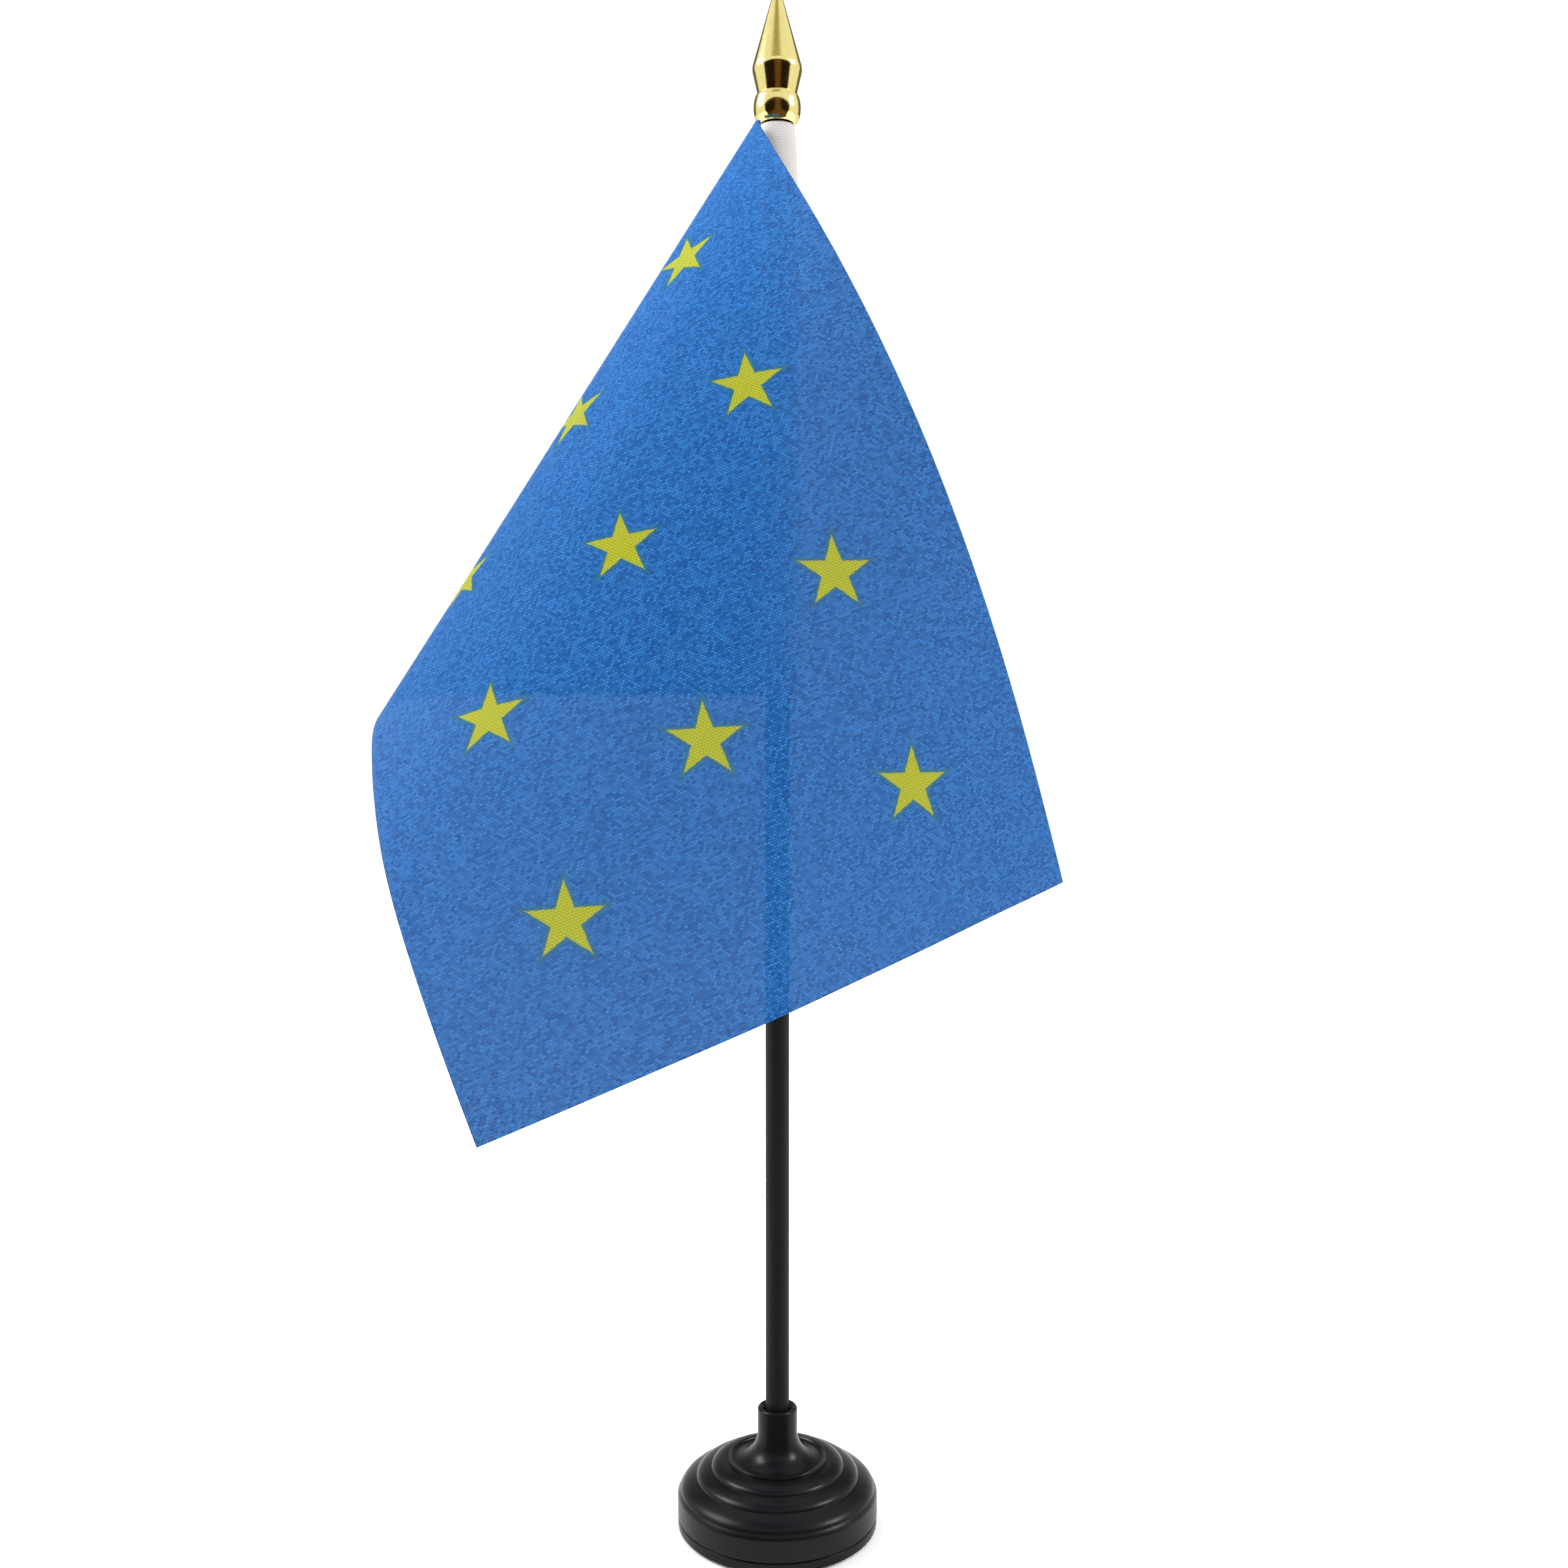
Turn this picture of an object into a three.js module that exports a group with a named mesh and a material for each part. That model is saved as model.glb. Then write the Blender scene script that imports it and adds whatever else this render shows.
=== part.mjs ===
// Desk flag stand: a weighted round base, a push-in pole, a push-on spear finial, and a small
// flag whose white hoist pocket turns on the pole. Millimetres, +Z up, origin at the centre of the
// underside of the foot pad, -Y towards the viewer, +X to the viewer's right.
import * as THREE from "three";

// ---- driving dimensions -------------------------------------------------------------------
const PART_GAP = 0.3; // clear space between pieces that lie against each other

// base
const BASE_RADIUS = 18.1;
const RIM_TOP = 6.6; // top of the upright side of the shell
const SHELL_WALL = 1.5;
const SHELL_BOTTOM = 2.2; // joint line between shell and cover
const NECK_RADIUS = 3.6;
const NECK_LENGTH = 4.4; // from where the neck starts to flare up to its top
const FLARE_RADIUS = 8.2; // where the flare meets the dome
const DOME_TOP = 12.1;
const DOME_FALL = 1.45; // 1 would make the dome a plain cone
const RING_STEP = 0.5; // height of each ring's wave above the dome
const RING_RADII = [8.9, 12.0, 14.7]; // outer edges of the rings, from the neck outwards
const RING_MARGIN = 0.5; // from the side wall to the outermost ring's edge
const RING_LEAN = 0.55; // leans each wave's crest outwards; 1 would put it in the middle
const RING_SHARES = [0, 0.03, 0.1, 0.2, 0.35, 0.55, 0.8]; // from a ring's outer edge inwards
const EDGE_ROUND = 0.2; // broken edges of mouldings
const RIM_ROUND = 0.4;
const NECK_ROUND = 0.3;

// pieces inside and under the base
const PAD_THICKNESS = 0.8;
const PAD_INSET = 2.3; // from the edge of the base to the edge of the pad
const COVER_LIFT = 0.5; // the cover's edge stays this far above the table
const COVER_INSET = 0.05; // the cover is this much smaller than the shell all round
const COVER_WALL = 1.0;
const LIP_HEIGHT = 1.5; // locating lip of the cover, inside the shell
const LIP_WALL = 1.0;
const WEIGHT_HEIGHT = 4.0;
const WEIGHT_CHAMFER = 0.3;
const REST_GAP = 0.1; // between pieces that rest on or are glued to one another

// pole and its fits
const POLE_RADIUS = 2.15;
const POLE_LENGTH = 255.4;
const POLE_CHAMFER = 0.4;
const POLE_CLEARANCE = 0.15; // radial, in the base socket and in the finial
const SOCKET_DEPTH = 17.7;
const SOCKET_WALL = 1.1;
const SOCKET_FLOOR = 1.0;
const BOSS_GAP = 1.0; // clear space between the socket's boss and the cover
const MOUTH_RADIUS = 2.95; // countersunk mouth of the socket
const MOUTH_DEPTH = 0.9;

// finial
const FINIAL_HEIGHT = 23.8;
const FINIAL_SHOULDER_RADIUS = 4.4;
const FINIAL_SHOULDER_HEIGHT = 9.6;
const FINIAL_WAIST_RADIUS = 3.4;
const FINIAL_WAIST_HEIGHT = 5.1;
const FINIAL_COLLAR_RADIUS = 4.15;
const FINIAL_FOOT_RADIUS = 3.3;
const FINIAL_TIP_RADIUS = 0.55;
const FINIAL_BORE_DEPTH = 9.0;
const FINIAL_EDGE = 0.4; // height of the rounded edge on each side of the shoulder
const BORE_CHAMFER = 0.3;
const COLLAR_START = -62; // the collar's curve runs between these angles, up from level
const COLLAR_END = 90;
const COLLAR_PLACE = 0.56; // height of the collar's middle, as a share of the waist's height

// flag
const CLOTH_WIDTH = 150; // along the fly, cut size
const CLOTH_HEIGHT = 100; // along the hoist, cut size
const CLOTH_THICKNESS = 0.6; // the solid's thickness, a little more than the knit's
const POCKET_WALL = 0.4;
const POCKET_SLACK_WIDE = 1.35; // clear space between the pole and the oval pocket
const POCKET_SLACK_DEEP = 0.4;
const POCKET_NARROWING = 0.2; // the share that the pocket narrows by at its two ends
const POCKET_NARROWING_POWER = 6; // high, so that the narrowing keeps to the ends
const SEAM_ANGLE = 229.5; // where the cloth meets the pocket, degrees round the pole from +X

// how the cloth hangs: a flat part beside the pole, a conical fold from the top corner, and a
// front part that bends about lines parallel to the last line of the fold
const APEX_RISE = 1; // the fold's apex lies this far above the cloth's top corner
const HOIST_HEADING = 9.3; // degrees that the flat part swings forward from straight left
const FOLD_START = 8; // degrees from the hoist, about the apex
const FOLD_END = 40.6;
const FOLD_TURN = 116.8; // degrees that the cloth turns through in the fold
const FOLD_SKEW = 2.17; // above 1 moves the tightest bend towards the end of the fold
const CURL_START = 0.0246; // bend of the front part next to the fold, 1/mm
const CURL_EASE = 0.00021; // how fast that bend eases, 1/mm per mm

// fineness of the round shapes
const ROUND_STEPS = 48;
const POLE_STEPS = 24;
const FLARE_STEPS = 6;
const COLLAR_STEPS = 8;
const TIP_STEPS = 5;
const POCKET_STEPS = 32;
const POCKET_LEVELS = 12;
const FOLD_COLUMNS = 14;
const FLAT_COLUMNS = 3;
const FRONT_COLUMNS = 16;
const CLOTH_ROWS = 24;
const FOLD_STEPS = 320;
const BEND_STEPS = 40;

// ---- worked out from them -----------------------------------------------------------------
const SOCKET_RADIUS = POLE_RADIUS + POLE_CLEARANCE;
const COVER_TOP = SHELL_BOTTOM - PART_GAP;
const RECESS_TOP = PAD_THICKNESS + REST_GAP; // roof of the recess that the pad is glued in
const COVER_FLOOR_TOP = RECESS_TOP + COVER_WALL;
const BOSS_RADIUS = SOCKET_RADIUS + SOCKET_WALL;
const BOSS_BOTTOM = COVER_FLOOR_TOP + BOSS_GAP;
const SOCKET_FLOOR_Z = BOSS_BOTTOM + SOCKET_FLOOR;
const BASE_HEIGHT = SOCKET_FLOOR_Z + SOCKET_DEPTH; // top of the neck
const NECK_FOOT = BASE_HEIGHT - NECK_LENGTH;
const POLE_BOTTOM = SOCKET_FLOOR_Z + PART_GAP;
const POLE_TOP = POLE_BOTTOM + POLE_LENGTH;
const FINIAL_BOTTOM = POLE_TOP + PART_GAP - FINIAL_BORE_DEPTH;
const HOIST_TOP = FINIAL_BOTTOM - PART_GAP;
const POCKET_HALF_WIDTH = POLE_RADIUS + POCKET_SLACK_WIDE + POCKET_WALL; // outside
const POCKET_HALF_DEPTH = POLE_RADIUS + POCKET_SLACK_DEEP + POCKET_WALL;

// ---- materials ----------------------------------------------------------------------------
function material(color, roughness, metalness = 0) {
  return new THREE.MeshStandardMaterial({ color, roughness, metalness });
}

const blackMoulding = material(0x202125, 0.35);
const blackPole = material(0x222423, 0.4);
const steel = material(0x8a8d90, 0.5, 1);
const felt = material(0x26272a, 0.95);
const gilding = material(0xd9bf5a, 0.18, 1);
const whiteTape = material(0xe9e6e4, 0.85);
const blueKnit = material(0x3f73a9, 0.8);
blueKnit.side = THREE.DoubleSide;

const flagStand = new THREE.Group();

function addPiece(name, geometry, finish) {
  const mesh = new THREE.Mesh(geometry, finish);
  mesh.name = name;
  flagStand.add(mesh);
  return mesh;
}

// ---- turned pieces ------------------------------------------------------------------------
// Turns an outline of [radius, height] points about the Z axis. The outline runs so that its
// solid lies on its left when radius points right and height points up.
function turned(outline, steps = ROUND_STEPS) {
  const points = outline.map(([radius, height]) => new THREE.Vector2(radius, height));
  return new THREE.LatheGeometry(points, steps).rotateX(Math.PI / 2);
}

// Points of an arc about a centre, angles in degrees from the +radius direction.
function arc(centre, radius, from, to, steps) {
  return Array.from({ length: steps + 1 }, (_, i) => {
    const angle = THREE.MathUtils.degToRad(from + ((to - from) * i) / steps);
    return [centre[0] + radius * Math.cos(angle), centre[1] + radius * Math.sin(angle)];
  });
}

// The dome's height at a radius, before its rings: it falls from the foot of the flare to the
// side wall, gently at first and then faster.
function domeHeight(radius) {
  const out = Math.max(0, (radius - FLARE_RADIUS) / (BASE_RADIUS - FLARE_RADIUS));
  return DOME_TOP - (DOME_TOP - RIM_TOP) * Math.pow(out, DOME_FALL);
}

// The outside of the shell from the rim up to the neck's top: rings, flare and neck.
function shellOutside() {
  const side = [
    [BASE_RADIUS - EDGE_ROUND, SHELL_BOTTOM],
    [BASE_RADIUS, SHELL_BOTTOM + EDGE_ROUND],
    [BASE_RADIUS, RIM_TOP - RIM_ROUND],
    [BASE_RADIUS - RIM_ROUND / 2, RIM_TOP],
  ];
  const edges = [BASE_RADIUS - RING_MARGIN, ...[...RING_RADII].reverse()];
  const rings = edges.flatMap((outer, i) => {
    const inner = i + 1 < edges.length ? edges[i + 1] : FLARE_RADIUS;
    return RING_SHARES.map((share) => {
      const radius = outer + (inner - outer) * share;
      const wave = Math.sin(Math.PI * Math.pow(share, RING_LEAN));
      return [radius, domeHeight(radius) + RING_STEP * wave];
    });
  });
  // The flare is a quarter ellipse, hollow side out.
  const flare = Array.from({ length: FLARE_STEPS + 1 }, (_, i) => {
    const angle = (Math.PI / 2) * (i / FLARE_STEPS);
    const reach = FLARE_RADIUS - NECK_RADIUS;
    return [
      FLARE_RADIUS - reach * Math.sin(angle),
      NECK_FOOT - (NECK_FOOT - DOME_TOP) * Math.cos(angle),
    ];
  });
  const neck = [
    [NECK_RADIUS, BASE_HEIGHT - NECK_ROUND],
    [NECK_RADIUS - NECK_ROUND, BASE_HEIGHT],
  ];
  return [...side, ...rings, ...flare, ...neck];
}

// The inside of the shell: the socket, its boss, and the hollow under the dome.
function shellInside() {
  const roof = DOME_TOP - SHELL_WALL - RING_STEP;
  return [
    [MOUTH_RADIUS, BASE_HEIGHT],
    [SOCKET_RADIUS, BASE_HEIGHT - MOUTH_DEPTH],
    [SOCKET_RADIUS, SOCKET_FLOOR_Z],
    [0, SOCKET_FLOOR_Z],
    [0, BOSS_BOTTOM],
    [BOSS_RADIUS, BOSS_BOTTOM],
    [BOSS_RADIUS, roof],
    [FLARE_RADIUS, roof],
    [RING_RADII[1], domeHeight(RING_RADII[1]) - SHELL_WALL],
    [RING_RADII[2], domeHeight(RING_RADII[2]) - SHELL_WALL],
    [BASE_RADIUS - SHELL_WALL, RIM_TOP - SHELL_WALL],
    [BASE_RADIUS - SHELL_WALL, SHELL_BOTTOM],
  ];
}

// The shell's whole outline, from the floor of its boss round the hollow, up the outside and down
// the socket, so that it starts and ends on the axis.
function shellOutline() {
  const inside = shellInside();
  const floor = inside.findIndex(([radius]) => radius === 0);
  const socket = inside.slice(0, floor + 1);
  const hollow = inside.slice(floor + 1);
  return [...hollow, ...shellOutside(), ...socket];
}

function coverOutline() {
  const edge = BASE_RADIUS - COVER_INSET;
  const lipOuter = BASE_RADIUS - SHELL_WALL - PART_GAP;
  const padRoom = BASE_RADIUS - PAD_INSET + PART_GAP;
  return [
    [0, RECESS_TOP],
    [padRoom, RECESS_TOP],
    [padRoom, COVER_LIFT],
    [edge - EDGE_ROUND, COVER_LIFT],
    [edge, COVER_LIFT + EDGE_ROUND],
    [edge, COVER_TOP - EDGE_ROUND],
    [edge - EDGE_ROUND, COVER_TOP],
    [lipOuter, COVER_TOP],
    [lipOuter, COVER_TOP + LIP_HEIGHT],
    [lipOuter - LIP_WALL, COVER_TOP + LIP_HEIGHT],
    [lipOuter - LIP_WALL, COVER_FLOOR_TOP],
    [0, COVER_FLOOR_TOP],
  ];
}

function weightOutline() {
  const outer = BASE_RADIUS - SHELL_WALL - LIP_WALL - 2 * PART_GAP;
  const inner = BOSS_RADIUS + PART_GAP;
  const bottom = COVER_FLOOR_TOP + REST_GAP;
  const top = bottom + WEIGHT_HEIGHT;
  return [
    [inner, bottom],
    [outer - WEIGHT_CHAMFER, bottom],
    [outer, bottom + WEIGHT_CHAMFER],
    [outer, top - WEIGHT_CHAMFER],
    [outer - WEIGHT_CHAMFER, top],
    [inner, top],
    [inner, bottom],
  ];
}

function padOutline() {
  const radius = BASE_RADIUS - PAD_INSET;
  return [
    [0, 0],
    [radius, 0],
    [radius, PAD_THICKNESS],
    [0, PAD_THICKNESS],
  ];
}

function poleOutline() {
  return [
    [0, POLE_BOTTOM],
    [POLE_RADIUS - POLE_CHAMFER, POLE_BOTTOM],
    [POLE_RADIUS, POLE_BOTTOM + POLE_CHAMFER],
    [POLE_RADIUS, POLE_TOP - POLE_CHAMFER],
    [POLE_RADIUS - POLE_CHAMFER, POLE_TOP],
    [0, POLE_TOP],
  ];
}

// The spear: a collar like a flattened ball, a waist, a shoulder and a long straight cone.
function finialOutline() {
  const at = (radius, height) => [radius, FINIAL_BOTTOM + height];
  const collarMiddle = FINIAL_WAIST_HEIGHT * COLLAR_PLACE;
  const collarHalf = FINIAL_WAIST_HEIGHT - collarMiddle;
  const swell = FINIAL_COLLAR_RADIUS - FINIAL_WAIST_RADIUS;
  const collar = arc([0, 0], 1, COLLAR_START, COLLAR_END, COLLAR_STEPS).map(([out, up]) =>
    at(FINIAL_WAIST_RADIUS + swell * out, collarMiddle + collarHalf * up),
  );
  const tipHeight = FINIAL_HEIGHT - FINIAL_TIP_RADIUS;
  const coneRise = tipHeight - FINIAL_SHOULDER_HEIGHT;
  const coneSlope = THREE.MathUtils.radToDeg(Math.atan2(FINIAL_SHOULDER_RADIUS, coneRise));
  const tip = arc([0, FINIAL_BOTTOM + tipHeight], FINIAL_TIP_RADIUS, coneSlope, 90, TIP_STEPS);
  tip[tip.length - 1][0] = 0;
  const bore = POLE_RADIUS + POLE_CLEARANCE;
  return [
    at(0, FINIAL_BORE_DEPTH),
    at(bore, FINIAL_BORE_DEPTH),
    at(bore, BORE_CHAMFER),
    at(bore + BORE_CHAMFER, 0),
    at(FINIAL_FOOT_RADIUS - EDGE_ROUND, 0),
    at(FINIAL_FOOT_RADIUS, EDGE_ROUND),
    ...collar,
    at(FINIAL_SHOULDER_RADIUS - FINIAL_EDGE / 3, FINIAL_SHOULDER_HEIGHT - FINIAL_EDGE),
    at(FINIAL_SHOULDER_RADIUS, FINIAL_SHOULDER_HEIGHT),
    at(FINIAL_SHOULDER_RADIUS - FINIAL_EDGE / 3, FINIAL_SHOULDER_HEIGHT + FINIAL_EDGE),
    ...tip,
  ];
}

addPiece("foot_pad", turned(padOutline()), felt);
addPiece("base_cover", turned(coverOutline()), blackMoulding);
addPiece("base_weight", turned(weightOutline()), steel);
addPiece("base_shell", turned(shellOutline()), blackMoulding);
addPiece("pole", turned(poleOutline(), POLE_STEPS), blackPole);
addPiece("finial", turned(finialOutline()), gilding);

// ---- a solid from its own points and triangles --------------------------------------------
function gridGeometry(points, triangles) {
  const geometry = new THREE.BufferGeometry();
  const flat = points.flatMap((p) => [p.x, p.y, p.z]);
  geometry.setAttribute("position", new THREE.Float32BufferAttribute(flat, 3));
  geometry.setIndex(triangles);
  geometry.computeVertexNormals();
  return geometry;
}

// ---- hoist pocket -------------------------------------------------------------------------
// An oval tube of white tape round the pole, a little tighter at its two ends.
function pocketGeometry() {
  const [around, levels] = [POCKET_STEPS, POCKET_LEVELS];
  const points = [];
  const triangles = [];
  for (let level = 0; level <= levels; level++) {
    const share = level / levels;
    const z = HOIST_TOP - CLOTH_HEIGHT * (1 - share);
    const fromMiddle = Math.abs(2 * share - 1);
    const squeeze = 1 - POCKET_NARROWING * Math.pow(fromMiddle, POCKET_NARROWING_POWER);
    const halfWidth = POCKET_HALF_WIDTH * squeeze;
    for (const inset of [0, POCKET_WALL])
      for (let i = 0; i < around; i++) {
        const angle = (2 * Math.PI * i) / around;
        const x = (halfWidth - inset) * Math.cos(angle);
        const y = (POCKET_HALF_DEPTH - inset) * Math.sin(angle);
        points.push(new THREE.Vector3(x, y, z));
      }
  }
  const at = (level, wall, i) => (level * 2 + wall) * around + (i % around);
  const quad = (a, b, c, d) => triangles.push(a, b, c, a, c, d);
  for (let i = 0; i < around; i++) {
    for (let level = 0; level < levels; level++) {
      quad(at(level, 0, i), at(level, 0, i + 1), at(level + 1, 0, i + 1), at(level + 1, 0, i));
      quad(at(level, 1, i + 1), at(level, 1, i), at(level + 1, 1, i), at(level + 1, 1, i + 1));
    }
    quad(at(0, 0, i + 1), at(0, 0, i), at(0, 1, i), at(0, 1, i + 1));
    quad(at(levels, 0, i), at(levels, 0, i + 1), at(levels, 1, i + 1), at(levels, 1, i));
  }
  return gridGeometry(points, triangles);
}

addPiece("flag_sleeve", pocketGeometry(), whiteTape);

// ---- flag cloth ---------------------------------------------------------------------------
const radians = THREE.MathUtils.degToRad;

// Directions of the lines that run from the apex down the cloth, one for each small step of
// angle from the hoist, and the direction across them. The cloth isn't stretched: equal angles
// on the cloth are equal angles between the lines.
function foldLines() {
  const step = radians(FOLD_END) / FOLD_STEPS;
  const heading = radians(HOIST_HEADING);
  const along = new THREE.Vector3(0, 0, -1);
  const across = new THREE.Vector3(-Math.cos(heading), -Math.sin(heading), 0);
  const lines = [{ along: along.clone(), across: across.clone() }];
  const span = radians(FOLD_END - FOLD_START);
  for (let i = 0; i < FOLD_STEPS; i++) {
    const share = THREE.MathUtils.clamp(((i + 0.5) * step - radians(FOLD_START)) / span, 0, 1);
    const slope = FOLD_SKEW * Math.pow(share, FOLD_SKEW - 1);
    const bump = slope * (1 - Math.cos(2 * Math.PI * Math.pow(share, FOLD_SKEW)));
    const turn = (-radians(FOLD_TURN) / span) * bump;
    const normal = new THREE.Vector3().crossVectors(along, across);
    const spin = normal.addScaledVector(along, turn);
    const angle = spin.length() * step;
    const rotation = new THREE.Quaternion().setFromAxisAngle(spin.normalize(), angle);
    along.applyQuaternion(rotation).normalize();
    across.applyQuaternion(rotation).normalize();
    lines.push({ along: along.clone(), across: across.clone() });
  }
  return lines;
}

// The hoist edge stands just outside the pocket, at the seam.
function seamPlace() {
  const angle = radians(SEAM_ANGLE);
  const onPocket = new THREE.Vector3(
    POCKET_HALF_WIDTH * Math.cos(angle),
    POCKET_HALF_DEPTH * Math.sin(angle),
    0,
  );
  const outward = new THREE.Vector3(
    Math.cos(angle) / POCKET_HALF_WIDTH,
    Math.sin(angle) / POCKET_HALF_DEPTH,
    0,
  );
  const stand = PART_GAP + CLOTH_THICKNESS / 2;
  return onPocket.addScaledVector(outward.normalize(), stand);
}

const lines = foldLines();
const apex = seamPlace().setZ(HOIST_TOP + APEX_RISE);

// A point of the cloth's middle surface and its normal: u runs from the hoist along the fly, v
// runs down from the top edge.
function clothPoint(u, v) {
  const reach = Math.hypot(u, v + APEX_RISE);
  const angle = Math.atan2(u, v + APEX_RISE);
  const place = Math.min(angle / radians(FOLD_END), 1) * (lines.length - 1);
  const low = Math.min(Math.floor(place), lines.length - 2);
  const along = lines[low].along.clone().lerp(lines[low + 1].along, place - low).normalize();
  const across = lines[low].across.clone().lerp(lines[low + 1].across, place - low);
  across.addScaledVector(along, -across.dot(along)).normalize();
  const normal = new THREE.Vector3().crossVectors(along, across);
  const past = angle - radians(FOLD_END);
  if (past <= 0) return { point: apex.clone().addScaledVector(along, reach), normal };
  // Past the fold the cloth bends about lines parallel to the fold's last line.
  const distance = reach * Math.sin(past);
  const bent = bendAt(distance);
  const point = apex
    .clone()
    .addScaledVector(along, reach * Math.cos(past))
    .addScaledVector(across, bent.across)
    .addScaledVector(normal, -bent.forward);
  const tilt = new THREE.Quaternion().setFromAxisAngle(along, -bent.angle);
  return { point, normal: normal.applyQuaternion(tilt) };
}

// The front part's bend, a curve of known bend at each distance from the fold's last line.
function bendAt(distance) {
  const step = distance / BEND_STEPS;
  const angleAt = (s) => CURL_START * s - (CURL_EASE * s * s) / 2;
  let across = 0;
  let forward = 0;
  for (let i = 0; i < BEND_STEPS; i++) {
    const angle = angleAt((i + 0.5) * step);
    across += Math.cos(angle) * step;
    forward += Math.sin(angle) * step;
  }
  return { across, forward, angle: angleAt(distance) };
}

// The columns of the grid follow the fold's lines, then fan out evenly to the fly edge.
function columnU(column, v) {
  const foldColumns = FLAT_COLUMNS + FOLD_COLUMNS;
  const down = v + APEX_RISE;
  if (column <= FLAT_COLUMNS) {
    return down * Math.tan(radians((FOLD_START * column) / FLAT_COLUMNS));
  }
  if (column <= foldColumns) {
    const share = Math.pow((column - FLAT_COLUMNS) / FOLD_COLUMNS, 1 / FOLD_SKEW);
    return down * Math.tan(radians(FOLD_START + (FOLD_END - FOLD_START) * share));
  }
  const start = down * Math.tan(radians(FOLD_END));
  return start + ((CLOTH_WIDTH - start) * (column - foldColumns)) / FRONT_COLUMNS;
}

function clothGeometry() {
  const columns = FLAT_COLUMNS + FOLD_COLUMNS + FRONT_COLUMNS;
  const points = [];
  for (let row = 0; row <= CLOTH_ROWS; row++)
    for (let column = 0; column <= columns; column++) {
      const v = (CLOTH_HEIGHT * row) / CLOTH_ROWS;
      const { point, normal } = clothPoint(columnU(column, v), v);
      points.push(point.clone().addScaledVector(normal, CLOTH_THICKNESS / 2));
      points.push(point.clone().addScaledVector(normal, -CLOTH_THICKNESS / 2));
    }
  const at = (row, column, side) => (row * (columns + 1) + column) * 2 + side;
  const triangles = [];
  const quad = (a, b, c, d) => triangles.push(a, b, c, a, c, d);
  for (let row = 0; row < CLOTH_ROWS; row++)
    for (let column = 0; column < columns; column++) {
      const [r, c] = [row + 1, column + 1];
      quad(at(row, column, 0), at(r, column, 0), at(r, c, 0), at(row, c, 0));
      quad(at(row, column, 1), at(row, c, 1), at(r, c, 1), at(r, column, 1));
    }
  for (let row = 0; row < CLOTH_ROWS; row++) {
    const r = row + 1;
    quad(at(row, 0, 0), at(row, 0, 1), at(r, 0, 1), at(r, 0, 0));
    quad(at(row, columns, 0), at(r, columns, 0), at(r, columns, 1), at(row, columns, 1));
  }
  for (let column = 0; column < columns; column++) {
    const c = column + 1;
    quad(at(0, column, 0), at(0, c, 0), at(0, c, 1), at(0, column, 1));
    const last = CLOTH_ROWS;
    quad(at(last, column, 0), at(last, column, 1), at(last, c, 1), at(last, c, 0));
  }
  return gridGeometry(points, triangles);
}

addPiece("flag_cloth", clothGeometry(), blueKnit);

export default flagStand;
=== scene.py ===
# %% [markdown]
# # A desk flag on its stand
#
# A weighted black base holds a thin black pole. A gilt spear is pushed over the pole's tip, and
# a small blue cloth hangs from a white pocket that turns round the pole. The engineering model
# of the stand is loaded first, and every piece made here takes its place from it.

# %% Load the frame
import math

import bmesh
import bpy
import numpy as np
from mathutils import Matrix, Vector


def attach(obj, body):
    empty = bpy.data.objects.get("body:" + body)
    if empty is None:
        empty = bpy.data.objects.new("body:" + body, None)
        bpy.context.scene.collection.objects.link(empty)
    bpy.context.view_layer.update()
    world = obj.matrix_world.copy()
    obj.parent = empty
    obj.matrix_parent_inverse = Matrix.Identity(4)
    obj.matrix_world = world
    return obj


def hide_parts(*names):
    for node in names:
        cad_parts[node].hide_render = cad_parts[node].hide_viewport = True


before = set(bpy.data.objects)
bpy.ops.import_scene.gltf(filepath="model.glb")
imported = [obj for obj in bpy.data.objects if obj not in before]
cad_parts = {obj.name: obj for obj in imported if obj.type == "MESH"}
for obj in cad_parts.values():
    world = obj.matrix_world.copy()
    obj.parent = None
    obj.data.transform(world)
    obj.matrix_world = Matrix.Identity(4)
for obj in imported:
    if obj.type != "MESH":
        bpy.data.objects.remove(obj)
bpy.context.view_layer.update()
MM = 0.001

# %% [markdown]
# ## Three small helpers
#
# Colours are written as sRGB hex, as a designer reads them off a chart, but nodes work on linear
# light, so one function turns one into the other. A second function adds a node with its
# settings and its links, for materials and for Geometry Nodes alike. A third starts a material.


# %% Colour and node helpers
def linear(hex_colour):
    """An sRGB hex colour as the linear red, green, blue and alpha that a socket takes."""
    shares = [int(hex_colour[i : i + 2], 16) / 255 for i in (1, 3, 5)]
    return [c / 12.92 if c <= 0.04045 else ((c + 0.055) / 1.055) ** 2.4 for c in shares] + [1.0]


def add(tree, kind, inputs=None, **settings):
    """Adds a node. inputs are values or other nodes' sockets, by the input's name or number."""
    made = tree.nodes.new(kind)
    for name, value in settings.items():
        setattr(made, name, value)
    for name, value in (inputs or {}).items():
        if isinstance(value, bpy.types.NodeSocket):
            tree.links.new(value, made.inputs[name])
        else:
            made.inputs[name].default_value = value
    return made


def start_material(name):
    """A new material with an empty node tree, and that tree."""
    material = bpy.data.materials.new(name)
    material.use_nodes = True
    material.node_tree.nodes.clear()
    return material, material.node_tree


def show(tree, shader):
    """Ends a material's tree: its surface shows this shader."""
    add(tree, "ShaderNodeOutputMaterial", {"Surface": shader})


# %% [markdown]
# ## Moulded black plastic
#
# The base is injection-moulded polystyrene in black. Its mould was lightly spark-eroded, so the
# skin has a fine grain of about a third of a millimetre and a dull, soft shine rather than a
# clear one. Handling polishes it in patches. A fine noise gives the grain, and a coarse noise
# moves the roughness up and down.


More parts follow.
